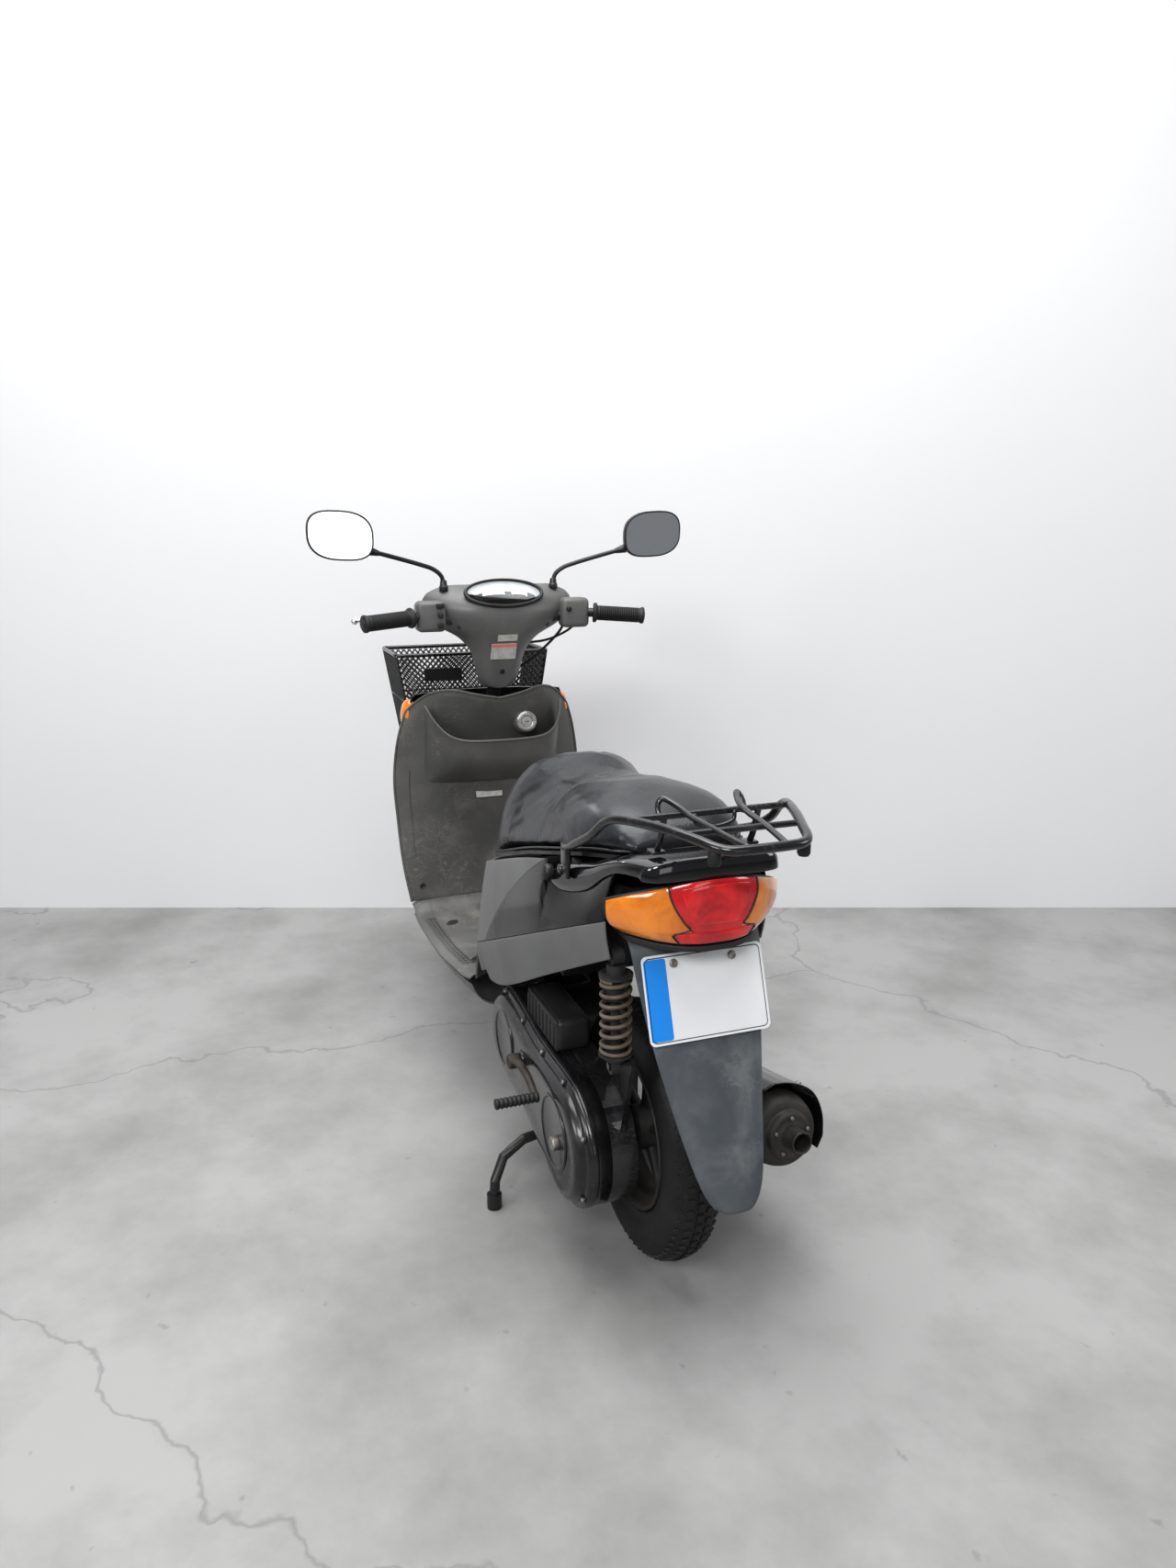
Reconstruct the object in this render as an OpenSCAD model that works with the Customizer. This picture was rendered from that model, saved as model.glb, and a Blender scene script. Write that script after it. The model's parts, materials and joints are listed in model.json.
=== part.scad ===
/* [Overall] */
// Distance between the wheel axles
wheelbase = 1230; // [1180:5:1300]
// Distance of the front axle ahead of the origin
front_axle_x = 690; // [650:5:730]
// Outer radius of both tyres
tyre_r = 208; // [200:1:214]
// Width of both tyres
tyre_w = 90; // [80:1:96]
// Height of the rear tyre above the floor with the stand down
wheel_lift = 6; // [2:1:25]
// Rake of the steering axis from the vertical
rake = 26.5; // [24:0.5:29]
// Trail of the front wheel
trail = 73; // [60:1:85]
// Width over the two handlebar grips
bar_w = 612; // [560:2:680]

/* [Body] */
// Height of the floorboard
floor_z = 300; // [285:1:310]
// Half the width of the leg shield at its widest
shield_half_w = 233; // [210:1:250]
// Thickness of the moulded panels
panel_t = 4; // [3:0.5:5]
// Half the width of the bodywork behind the seat
tail_half_w = 135; // [125:1:140]
// Half the width of the seat at its widest
seat_half_w = 138; // [120:1:144]
// Number plate width
plate_w = 185; // [150:1:200]
// Number plate height
plate_h = 123; // [100:1:130]

/* [Fits] */
// Radial clearance of a shaft that turns in a bore
run_gap = 0.05; // [0.02:0.01:0.1]
// Gap between neighbouring pieces that are not fastened face to face
gap = 0.4; // [0.3:0.05:0.6]
// Wheel axle radius
axle_r = 6; // [5:0.5:7]
// Steering tube outer radius
stem_r = 15; // [13:0.5:17]
// Handlebar tube radius
bar_r = 11; // [10:0.5:12.5]
// Grip outer radius
grip_r = 16.5; // [15:0.5:18]
// Front fork stanchion radius
stanchion_r = 13; // [11:0.5:14]
// Half the distance between the fork legs
fork_half = 74; // [70:1:80]
// Carrier tube radius
carrier_r = 6.5; // [5:0.5:8]

/* [Hidden] */

rear_axle_x = front_axle_x - wheelbase;
front_axle_z = tyre_r;
rear_axle_z = tyre_r + wheel_lift;
rim_seat_r = 127;
steer_tan = tan(rake);
steer_ground_x = front_axle_x + trail;
steer_up = [-sin(rake), 0, cos(rake)];
function steer_x(z) = steer_ground_x - z * steer_tan;
function steer_at(z) = [steer_x(z), 0, z];
function leg_at(t) = [front_axle_x, 0, front_axle_z] + t * steer_up;

// Engine unit
pivot = [-140, 0, 345];
pivot_r = 8;
crank = [-215, 0, 250];
crank_case_r = 84;
rear_case_r = 103;
case_y = 58;
case_split_y = 100;
case_face_y = 155;
stand_pivot = [-390, 0, 118];
stand_pin_r = 6;
shock_x = -660;
shock_y = 104;
shock_top_z = 570;
shock_low_z = 400;
eye_r = 13;
pin_r = 5;

// ---------- shared shapes ----------
function unit(v) = v / norm(v);
function joined(lists) = [for (l = lists) each l];
// Triangles of one grid of points, row by row
function grid_faces(rows, cols, first, flip) = joined([for (r = [0 : rows - 2]) joined([for (c = [0 : cols - 2])
    let (a = first + r * cols + c, b = a + 1, d = a + cols, e = d + 1)
    flip ? [[a, b, e], [a, e, d]] : [[a, e, b], [a, d, e]]])]);
// Edge strip between two point chains
function strip(p, q) = joined([for (i = [0 : len(p) - 2])
    [[p[i], p[i + 1], q[i + 1]], [p[i], q[i + 1], q[i]]]]);
function total(list) = list * [for (x = list) 1];
function turned(faces) = [for (f = faces) [f[2], f[1], f[0]]];
// A closed solid of triangles, turned so that every face looks outward
module closed(points, faces) {
    inside_out = total([for (f = faces) points[f[0]] * cross(points[f[1]], points[f[2]])]) > 0;
    polyhedron(points, inside_out ? turned(faces) : faces);
}
// A closed plate between two matching grids of points
module plate(outer, inner) {
    rows = len(outer);
    cols = len(outer[0]);
    n = rows * cols;
    low = [for (c = [0 : cols - 1]) c];
    high = [for (c = [0 : cols - 1]) (rows - 1) * cols + c];
    left = [for (r = [0 : rows - 1]) r * cols];
    right = [for (r = [0 : rows - 1]) r * cols + cols - 1];
    function lift(list) = [for (i = list) i + n];
    closed(joined([joined(outer), joined(inner)]), joined([
        grid_faces(rows, cols, 0, false),
        grid_faces(rows, cols, n, true),
        strip(low, lift(low)),
        strip(lift(high), high),
        strip(lift(left), left),
        strip(right, lift(right))]));
}
// A closed body through matching rings of points
module loft(rings) {
    rows = len(rings);
    cols = len(rings[0]);
    function at(r, c) = r * cols + c % cols;
    sides = joined([for (r = [0 : rows - 2]) joined([for (c = [0 : cols - 1])
        [[at(r, c), at(r, c + 1), at(r + 1, c + 1)], [at(r, c), at(r + 1, c + 1), at(r + 1, c)]]])]);
    caps = joined([for (c = [1 : cols - 2])
        [[0, c + 1, c], [at(rows - 1, 0), at(rows - 1, c), at(rows - 1, c + 1)]]]);
    closed(joined(rings), joined([sides, caps]));
}
// A round bar that follows a chain of points
function bar_dir(p, i) = unit(i == 0 ? p[1] - p[0] : i == len(p) - 1 ? p[i] - p[i - 1]
    : unit(p[i + 1] - p[i]) + unit(p[i] - p[i - 1]));
function bar_ring(c, d, r, sides, across) = let (side = unit(cross(across, d)), over = cross(d, side))
    [for (k = [0 : sides - 1]) c + r * (cos(360 * k / sides) * side + sin(360 * k / sides) * over)];
module bar(points, r, sides = 10, across = [0, 0, 1]) {
    loft([for (i = [0 : len(points) - 1]) bar_ring(points[i], bar_dir(points, i), r, sides, across)]);
}
// A straight round rod between two points
module rod(a, b, r) {
    d = b - a;
    translate(a) rotate([0, acos(d[2] / norm(d)), atan2(d[1], d[0])]) cylinder(h = norm(d), r = r, $fn = 48);
}
// A cylinder along Y from one side position to another
module y_cyl(centre, y0, y1, r) {
    translate([centre[0], y0, centre[2]]) rotate([-90, 0, 0]) cylinder(h = y1 - y0, r = r, $fn = 64);
}
module mirrored() {
    children();
    mirror([0, 1, 0]) children();
}
function flip_y(points) = [for (p = points) [p[0], -p[1], p[2]]];
function reversed(list) = [for (i = [len(list) - 1 : -1 : 0]) list[i]];
// Both halves of a path that is symmetric about the middle plane
function both_sides(points) = joined([points, [for (p = reversed(flip_y(points))) if (p[1] != 0) p]]);
steps = [-1, -0.92, -0.8, -0.6, -0.4, -0.2, 0, 0.2, 0.4, 0.6, 0.8, 0.92, 1];
function shifted(grid, by) = [for (row = grid) [for (p = row) p + by]];

// ---------- frame ----------
head_low_z = 560;
head_high_z = 690;
head_r = 24;
frame_r = 17;
module main_frame() color([0.05, 0.05, 0.05]) {
    difference() {
        union() {
            rod(steer_at(head_low_z), steer_at(head_high_z), head_r);
            bar([steer_at(590) + [-6, 0, 0], [436, 0, 470], [436, 0, 330], [424, 0, 262], [370, 0, 240],
                [60, 0, 240]], frame_r, 12, [0, 1, 0]);
            bar([[60, -90, 250], [60, 90, 250]], 14, 12);
            mirrored() bar([[60, 80, 250], [-40, 86, 256], [-90, 92, 292], [-106, 98, 360], [-124, 102, 440],
                [-150, 104, 520], [-300, 108, 590], [-560, 112, 652], [-690, 100, 672]], 11, 12, [0, 1, 0]);
            bar([[-690, -100, 672], [-690, 100, 672]], 9, 10);
            bar([[-400, -108, 606], [-400, 108, 606]], 8, 10);
            mirrored() translate([pivot[0] - 14, 84, pivot[2] - 14]) cube([72, 8, 28]);
            y_cyl(pivot, -92, 92, pivot_r);
            // Bracket that holds the leg shield
            translate([shield_mid_x(628) + panel_t + gap, -20, 628]) cube([62, 40, 8]);
            // Upper mount of the shock absorber
            translate([shock_x - 12, 88, shock_top_z - 9]) cube([24, 6, 111]);
            y_cyl([shock_x, 0, shock_top_z], 88, shock_y + 10, pin_r);
            // Cradle under the fuel tank
            bar(both_sides([[-540, 109, 645], [-540, 104, 570], [-540, 96, tank_low_z - 6.2 - gap]]), 8, 10,
                [1, 0, 0]);
            mirrored() translate([carrier_bolt[0] - 12, 108, 648]) cube([24, 18, 34]);
        }
        mirrored() y_cyl(carrier_bolt, 100, 140, 4 + gap / 2);
        rod(steer_at(head_low_z - 30), steer_at(head_high_z + 30), stem_r + run_gap);
    }
}

// ---------- leg shield and front ----------
shield_low_z = 318;
function shield_half(z) = shield_half_w * lookup(z, [[300, 0.86], [400, 0.93], [500, 0.98], [600, 1],
    [700, 0.93], [780, 0.8], [830, 0.63]]);
function shield_mid_x(z) = lookup(z, [[300, 372], [360, 384], [450, 388], [550, 375], [650, 352], [750, 322],
    [830, 300]]);
function shield_edge_x(z) = lookup(z, [[300, 362], [400, 382], [500, 392], [600, 397], [700, 400], [830, 394]]);
function shield_top(s) = 786 + 30 * (1 - cos(180 * min(1, abs(s) * 1.1))) / 2;
function shield_point(s, z) = [shield_mid_x(z) + (shield_edge_x(z) - shield_mid_x(z)) * pow(abs(s), 2.2),
    shield_half(z) * s, z];
shield_rows = [0, 0.08, 0.2, 0.35, 0.5, 0.65, 0.78, 0.9, 1];
function shield_grid() = [for (v = shield_rows) [for (s = steps)
    shield_point(s, shield_low_z + v * (shield_top(s) - shield_low_z))]];
pocket_low_z = 612;
function pocket_lip(s) = 700 + 70 * pow(abs(s), 6);
function pocket_point(s, v) = let (z = pocket_low_z + v * (pocket_lip(s) - pocket_low_z),
    out = 62 * min(1, sqrt(v * 3)) * (1 - pow(abs(s), 8)))
    [shield_point(s * 0.72, z)[0] - out + 2, shield_half(700) * 0.76 * s, z];
key_centre = [330, -62, 728];
key_r = 12;
module leg_shield() color([0.30, 0.30, 0.30]) {
    difference() {
        union() {
            plate(shield_grid(), shifted(shield_grid(), [panel_t, 0, 0]));
            plate([for (v = [0, 0.06, 0.16, 0.33, 0.66, 1]) [for (s = steps) pocket_point(s, v)]],
                [for (v = [0, 0.06, 0.16, 0.33, 0.66, 1]) [for (s = steps) pocket_point(s, v) + [3, 0, 0]]]);
            translate(key_centre) rotate([0, -78, 0]) cylinder(h = 16, r = 21, $fn = 48);
        }
        translate(key_centre) rotate([0, -78, 0]) translate([0, 0, -20])
            cylinder(h = 50, r = key_r + run_gap, $fn = 48);
    }
}
module ignition_key() color([0.7, 0.7, 0.72]) translate(key_centre) rotate([0, -78, 0]) {
    difference() {
        cylinder(h = 18, r = key_r, $fn = 48);
        translate([-1, -5, 12]) cube([2, 10, 8]);
    }
}

function nose_x(z) = lookup(z, [[520, 636], [600, 592], [640, 545], [700, 512], [790, 470]]);
nose_z = [520, 560, 600, 640, 700, 745, 790];
function nose_point(s, z) = let (edge = shield_point(1, z),
    back = edge[0] + 2 * panel_t + gap)
    [back + (nose_x(z) - back) * (1 - pow(abs(s), 2.4)), (edge[1] - 1) * s, z];
module front_cover() color([0.02, 0.02, 0.025])
    plate([for (z = nose_z) [for (s = steps) nose_point(s, z) - [panel_t, 0, 0]]],
        [for (z = nose_z) [for (s = steps) nose_point(s, z)]]);

// ---------- floor ----------
function floor_w(x) = lookup(x, [[-60, 168], [0, 180], [120, 196], [300, 202], [410, 198]]);
function floor_top(x) = lookup(x, [[-60, floor_z + 8], [-20, floor_z], [300, floor_z], [345, floor_z + 8],
    [352, shield_low_z - gap], [410, shield_low_z - gap]]);
floor_x = [-60, -20, 60, 140, 220, 300, 345, 352, 410];
module floor_board() color([0.34, 0.34, 0.35]) {
    plate([for (x = floor_x) [for (s = steps) [x, floor_w(x) * s, floor_top(x) - 14 * pow(abs(s), 14)]]],
        [for (x = floor_x) [for (s = steps) [x, floor_w(x) * s, floor_top(x) - 5 - 21 * pow(abs(s), 14)]]]);
}
module under_cover() color([0.30, 0.30, 0.31]) {
    plate([for (x = [-40, 60, 160, 260, 340, 400]) [for (s = steps)
            [x, (floor_w(x) - 4) * s, 218.4 + 49 * pow(abs(s), 6) + 9 * pow(abs(s), 20)]]],
        [for (x = [-40, 60, 160, 260, 340, 400]) [for (s = steps)
            [x, (floor_w(x) - 6) * s, 222.4 + 49 * pow(abs(s), 6) + 6 * pow(abs(s), 20)]]]);
}

// ---------- seat area panels ----------
function skirt_top(x) = 384 + (-90 - x) * 0.421;
function skirt_low(x) = lookup(x, [[-700, 585], [-273, 371], [-183, 338], [-90, 330]]);
function body_half(x) = lookup(x, [[-720, 118], [-600, tail_half_w + 10], [-480, tail_half_w + 25],
    [-300, tail_half_w + 30], [-90, 168]]);
function upper_half(x) = lookup(x, [[-700, 112], [-600, tail_half_w - 8], [-480, tail_half_w + 8],
    [-300, tail_half_w + 10], [-90, 145]]);
function seat_low(x) = lookup(x, [[-690, 716], [-600, 702], [-500, 676], [-340, 632], [-80, 548]]);
function cover_line(x) = lookup(x, [[-720, 709], [-660, 700], [-600, 655], [-480, 628]]);
function front_half(z) = lookup(z, [[floor_z, 168], [400, 160], [548, 144]]);
function front_x(s, z) = lookup(z, [[floor_z, -34], [400, -40], [548, -52]]) - 42 * pow(abs(s), 4);
module seat_front_panel() color([0.33, 0.33, 0.34]) {
    zs = [floor_z + 9, 350, 420, 490, 543];
    plate([for (z = zs) [for (s = steps) [front_x(s, z) - panel_t, front_half(z) * s, z]]],
        [for (z = zs) [for (s = steps) [front_x(s, z), front_half(z) * s, z]]]);
}
// One side panel between a lower and an upper edge
skirt_x = [-98, -183, -273, -370, -470, -570, -640, -676];
module lower_skirts() color([0.34, 0.34, 0.35]) mirrored() {
    rows = [for (x = skirt_x) [for (v = [0, 0.5, 1])
        [x, body_half(x) - 8 + 8 * v, skirt_low(x) + v * (skirt_top(x) - skirt_low(x))]]];
    plate(shifted(rows, [0, -panel_t, 0]), rows);
}
side_x = [-98, -160, -240, -330, -430, -480, -482, -560, -640, -676];
function side_top(x) = x > -480 ? seat_low(x) - 5 : cover_line(x);
module side_covers() color([0.12, 0.12, 0.12]) mirrored() {
    rows = [for (x = side_x) [for (v = [0, 0.5, 1]) let (low = skirt_top(x) + gap,
        high = max(low + 8, side_top(x)), w = body_half(x) + (upper_half(x) - body_half(x)) * v) [x, w, low + v * (high - low)]]];
    plate(shifted(rows, [0, -panel_t, 0]), rows);
}
tail_x = [-482.5, -560, -640, -676, -720, -752];
function tail_low(x) = max(side_top(x), skirt_top(x) + 8) + gap;
function tail_top(x) = lookup(x, [[-760, 738], [-690, 728], [-600, 700], [-500, 671]]);
function tail_w(x) = lookup(x, [[-760, 92], [-720, 108], [-690, 114], [-600, tail_half_w - 8],
    [-480, tail_half_w + 8]]);
module tail_cover() color([0.01, 0.01, 0.015]) difference() {
    union() {
        // Sides
        mirrored() plate(
            [for (x = tail_x) [for (v = [0, 0.5, 1])
                [x, tail_w(x) - panel_t - 3 * v, tail_low(x) + v * (tail_top(x) - tail_low(x))]]],
            [for (x = tail_x) [for (v = [0, 0.5, 1])
                [x, tail_w(x) - 3 * v, tail_low(x) + v * (tail_top(x) - tail_low(x))]]]);
        // Deck behind the seat
        plate([for (x = tail_deck) [for (s = steps)
                [x, (tail_w(x) - 3) * s, tail_top(x) - 5 * pow(abs(s), 4)]]],
            [for (x = tail_deck) [for (s = steps)
                [x, (tail_w(x) - 3) * s, tail_top(x) + 4 - 5 * pow(abs(s), 4)]]]);
        // Rear face above the lamp
        plate([for (z = [lamp_high_z + gap, 742]) [for (s = steps)
                [-758 + 20 * pow(abs(s), 3), 92 * s, z - (z > 720 ? 5 : 0) * pow(abs(s), 4)]]],
            [for (z = [lamp_high_z + gap, 742]) [for (s = steps)
                [-764 + 20 * pow(abs(s), 3), 92 * s, z - (z > 720 ? 5 : 0) * pow(abs(s), 4)]]]);
    }
    mirrored() y_cyl(carrier_bolt, 120, 150, 4 + gap);
}
tail_deck = [-692, -720, -752, -764];

// ---------- lamps ----------
lamp_low_z = 618;
lamp_high_z = 708;
function lamp_x(s) = -772 + 78 * pow(abs(s), 2.6);
function lamp_w(z) = lookup(z, [[lamp_low_z, 108], [645, 132], [680, 130], [lamp_high_z, 104]]);
module lamp_slice(s0, s1) {
    cols = [for (k = [0 : 6]) s0 + (s1 - s0) * k / 6];
    rows = [lamp_low_z, 632, 645, 662, 680, 696, lamp_high_z];
    plate([for (z = rows) [for (s = cols) [lamp_x(s), lamp_w(z) * s, z]]],
        [for (z = rows) [for (s = cols) [lamp_x(s) + 22 * (1 - 0.4 * abs(s)), lamp_w(z) * s * 0.97, z]]]);
}
module tail_lamp_lens() color([0.8, 0.05, 0.05]) lamp_slice(-0.62, 0.62);
function front_lamp_s(side) = side > 0 ? [0.6, 0.8, 0.92] : [-0.92, -0.8, -0.6];
module indicator_lenses() color([0.95, 0.5, 0.05]) {
    mirrored() lamp_slice(0.63, 1);
    for (side = [-1, 1]) plate(
        [for (z = [700, 745]) [for (s = front_lamp_s(side)) nose_point(s, z) + [gap, 0, 0]]],
        [for (z = [700, 745]) [for (s = front_lamp_s(side)) nose_point(s, z) + [10, 5 * side, 0]]]);
}

// ---------- rear fender and plate ----------
plate_tilt = 19.5;
plate_top = [-716, 0, 588];
flap_line = [[-684, 612], [-694, 610], [-706, 600], [-716, 580], [-754, 471], [-800, 372], [-842, 292], [-859, 262]];
flap_w = [84, 104, 98, 92, 84, 66, 50, 26];
function flap_point(i, s) = [flap_line[i][0] + 8 * pow(abs(s), 6), flap_w[i] * s, flap_line[i][1]];
module rear_fender() color([0.25, 0.27, 0.30]) {
    plate([for (i = [0 : 7]) [for (s = steps) flap_point(i, s) + [2, 0, -3]]],
        [for (i = [0 : 7]) [for (s = steps) flap_point(i, s) + [-2, 0, 0]]]);
    // Shelf under the tail lamp
    plate([for (v = [0, 1]) [for (s = steps) [lamp_x(s) + 3 - v * (lamp_x(s) + 688), 104 * s, 608]]],
        [for (v = [0, 1]) [for (s = steps) [lamp_x(s) + 3 - v * (lamp_x(s) + 688), 104 * s, lamp_low_z - gap]]]);
}
module on_plate() translate(plate_top) rotate([0, plate_tilt, 0]) children();
module number_plate() color([0.95, 0.95, 0.95]) on_plate() difference() {
    translate([-6, -plate_w / 2, -plate_h]) cube([1.5, plate_w, plate_h]);
    for (y = [-45, 45]) translate([-10, y, -14]) rotate([0, 90, 0]) cylinder(h = 12, r = 3.2, $fn = 32);
}
module cover_bolts() color([0.6, 0.6, 0.62]) {
    on_plate() for (y = [-45, 45]) translate([0, y, -14]) rotate([0, 90, 0]) {
        translate([0, 0, -10]) cylinder(h = 3.7, r = 6, $fn = 32);
        translate([0, 0, -6.4]) cylinder(h = 6.6, r = 3, $fn = 32);
    }
    mirrored() {
        y_cyl(carrier_bolt, 110, 145, 4);
        y_cyl(carrier_bolt, 144 + gap, 150, 8.5);
    }
}

// ---------- carrier ----------
carrier_z = 792;
carrier_bolt = [-545, 137, 670];
carrier_side = [[-545, 141, 702], [-600, 145, 724], [-735, 140, 790], [-790, 132, 795], [-884, 112, 790],
    [-898, 92, 788]];
carrier_rail = [[-712, 92, 802], [-700, 84, 818], [-706, 70, 806], [-745, 72, 795], [-870, 66, 791],
    [-890, 60, 790]];
module rear_carrier() color([0.03, 0.03, 0.03]) {
    bar(both_sides(carrier_side), carrier_r);
    mirrored() bar(carrier_rail, 4, 8, [0, 1, 0]);
    for (x = [-742, -820]) bar([[x, -134, carrier_z], [x, 134, carrier_z]], 4.5, 8);
    mirrored() bar([[-742, 70, carrier_z], [-734, 70, 760], [-722, 70, 740]], 4.5, 8, [0, 1, 0]);
    mirrored() translate([-728, 58, 738]) cube([12, 24, 4]);
    mirrored() translate([-884, 111, 766]) cylinder(h = 22, r = 7, $fn = 24);
    mirrored() difference() {
        translate([carrier_bolt[0] - 13, 135.6, 656]) cube([26, 8.4, 52]);
        y_cyl(carrier_bolt, 120, 150, 4 + gap / 2);
    }
}

// ---------- things under the seat ----------
tank_low_z = 540;
module fuel_tank() color([0.1, 0.1, 0.1]) {
    translate([-632, -84, tank_low_z]) cube([200, 168, 66]);
    translate([-600, 0, tank_low_z + 60]) cylinder(h = 44, r = 24, $fn = 48);
}
module battery() color([0.15, 0.15, 0.16]) translate([box_front_x + gap, -38, 425]) cube([46, 76, 84]);
// The bucket under the seat
box_front_x = -122;
box_rear_x = -384;
box_low_z = 424;
hinge = [-104, 0, 549];
module box_shape(inset, top) translate([0, 90 - inset, 0]) rotate([90, 0, 0]) linear_extrude(180 - 2 * inset)
    polygon([[box_rear_x + inset, box_low_z + inset], [box_front_x - inset, box_low_z + inset],
        [box_front_x - inset, seat_low(box_front_x - inset) - 7 + top],
        [box_rear_x + inset, seat_low(box_rear_x + inset) - 7 + top]]);
module helmet_box() color([0.08, 0.08, 0.08]) difference() {
    union() {
        box_shape(0, 0);
        for (y = [-38, 28 + gap]) {
            translate([box_front_x - 3, y, 540]) cube([hinge[0] - box_front_x + 3, 10 - gap, 11]);
            y_cyl(hinge, y, y + 10 - gap, 6);
        }
    }
    box_shape(4, 20);
    y_cyl(hinge, -60, 60, 3 + run_gap);
}

// ---------- basket ----------
basket_low = 645;
basket_high = 862;
basket_corners = [[-1, -1], [1, -1], [1, 1], [-1, 1]];
function basket_ring(t, inset) = [for (k = basket_corners) [628 + 6 * t + (78 + 12 * t - inset) * k[0],
    (150 + 34 * t - inset) * k[1], basket_low + t * (basket_high - basket_low)]];
module front_basket() color([0.03, 0.03, 0.03]) {
    difference() {
        union() {
            loft([basket_ring(0, 0), basket_ring(1, 0)]);
            loft([basket_ring(0.97, -4), basket_ring(1, -4)]);
        }
        loft([basket_ring(0.015, 1.5), basket_ring(1.05, 1.5)]);
    }
    translate([nose_x(634) + gap, -24, 634]) cube([40, 48, 12]);
}

// ---------- steering ----------
clamp_t = 300;
module steering_stem() color([0.05, 0.05, 0.05]) {
    rod(steer_at(head_low_z - 94), steer_at(946), stem_r);
    rod(steer_at(head_high_z + 2), steer_at(head_high_z + 12), stem_r + 7);
    // Lower bridge that holds the stanchions
    translate(leg_at(clamp_t)) rotate([0, -rake, 0]) translate([-42, -fork_half - 18, 0])
        cube([60, 2 * fork_half + 36, 24]);
    mirrored() rod(leg_at(96) + [0, fork_half, 0], leg_at(clamp_t + 10) + [0, fork_half, 0], stanchion_r);
}
// Handlebar
grip_out = [223, bar_w / 2, 968];
grip_in = [262, bar_w / 2 - 122, 976];
grip_dir = unit(grip_out - grip_in);
bar_path = [[289, 0, 950], [289, 60, 952], [281, 130, 970], grip_in];
perch = [302, 168, 964];
lever_pin_r = 3;
module handlebar() color([0.2, 0.2, 0.2]) difference() {
    union() {
        bar(both_sides(reversed(bar_path)), bar_r, 12);
        mirrored() rod(grip_in, grip_out - 3 * grip_dir, bar_r - 1);
        rod(steer_at(936), steer_at(962), 24);
        mirrored() translate([262, 160, perch[2]]) cube([perch[0] - 254, 16, 10]);
        mirrored() translate([perch[0], perch[1], perch[2]]) cylinder(h = 24, r = lever_pin_r, $fn = 32);
    }
    rod(steer_at(900), steer_at(975), stem_r + run_gap);
}
module left_grip() color([0.02, 0.02, 0.02]) difference() {
    rod(grip_in + 16 * grip_dir, grip_out + 2 * grip_dir, grip_r);
    rod(grip_in, grip_out - 2 * grip_dir, bar_r - 1 + run_gap);
}
module throttle_grip() color([0.02, 0.02, 0.02]) mirror([0, 1, 0]) left_grip();

module brake_lever_left() color([0.75, 0.75, 0.77]) difference() {
    union() {
        translate([perch[0], perch[1], perch[2] + 10 + gap]) cylinder(h = 11, r = 8, $fn = 48);
        bar([[perch[0] + 2, perch[1] + 2, 980], [308, 190, 980], [300, 240, 977], [290, 296, 971]], 4.5, 10);
        translate([288, 300, 970]) sphere(r = 7.5, $fn = 32);
    }
    translate([perch[0], perch[1], perch[2]]) cylinder(h = 30, r = lever_pin_r + run_gap, $fn = 48);
}
module brake_lever_right() mirror([0, 1, 0]) brake_lever_left();
// Covers of the handlebar
cover_centre = [318, 0, 950];
function cover_half(z) = lookup(z, [[812, 22], [850, 36], [895, 50], [925, 78], [950, 128], [975, 146],
    [1000, 144], [1022, 128], [1038, 96]]);
function seam_x(z) = lookup(z, [[812, 330], [870, 322], [950, 314], [1038, 316]]);
function rear_x(z) = lookup(z, [[812, 306], [850, 290], [900, 268], [950, 246], [985, 243], [1010, 256],
    [1030, 284], [1038, 312]]);
function fore_x(z) = lookup(z, [[866, 366], [900, 382], [950, 400], [1000, 392], [1026, 356], [1038, 320]]);
function cover_point(face_x, seam, s, z) = [seam + (face_x - seam) * (1 - pow(abs(s), 3.2)), cover_half(z) * s, z];
function inner(grid) = [for (row = grid) [for (p = row)
    [cover_centre[0] + (p[0] - cover_centre[0]) * 0.95, p[1] * 0.97, p[2] > 1000 ? p[2] - 3 : p[2]]]];
cover_z = [812, 835, 870, 900, 925, 950, 975, 1000, 1018, 1030, 1038];
module gauge_place() translate([272, 0, 1014]) rotate([0, -48, 0]) children();
module gauge_oval(h, grow) gauge_place() translate([0, 0, -h / 2]) scale([0.4, 1, 1])
    cylinder(h = h, r = 82 + grow, $fn = 48);
module bar_room() mirrored() {
    bar([[289, 60, 952], [281, 130, 970], grip_in], bar_r + 0.6, 12);
    translate([258, 156, perch[2] - 4]) cube([70, 30, 40]);
}
module switch_box() translate([250, 126, 944]) cube([44, 28, 66]);
module bar_cover_rear() color([0.32, 0.32, 0.32]) difference() {
    rear = [for (z = cover_z) [for (s = steps) cover_point(rear_x(z), seam_x(z), s, z)]];
    union() {
        plate(inner(rear), rear);
        mirrored() switch_box();
    }
    gauge_oval(60, gap);
    bar_room();
    key_cut(dip_place, [9, 16, 10]);
    key_cut(turn_place, [9, 16, 10]);
    key_cut(horn_place, [9, 12, 12]);
    translate(start_place) rotate([0, -90, 0]) translate([0, 0, -9]) cylinder(h = 20, r = 6 + gap, $fn = 48);
    mirrored() translate(mirror_base - [0, 0, 20]) cylinder(h = 40, r = 6, $fn = 32);
}
module bar_cover_front() color([0.02, 0.02, 0.025]) difference() {
    front_z = [for (z = cover_z) if (z > 860) z];
    front = [for (z = front_z) [for (s = steps) cover_point(fore_x(z), seam_x(z) + gap, s, z)]];
    plate(front, inner(front));
    headlamp_shape(60, gap);
    bar_room();
    mirrored() switch_box();
    mirrored() translate(mirror_base - [0, 0, 20]) cylinder(h = 40, r = 6, $fn = 32);
}
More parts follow.
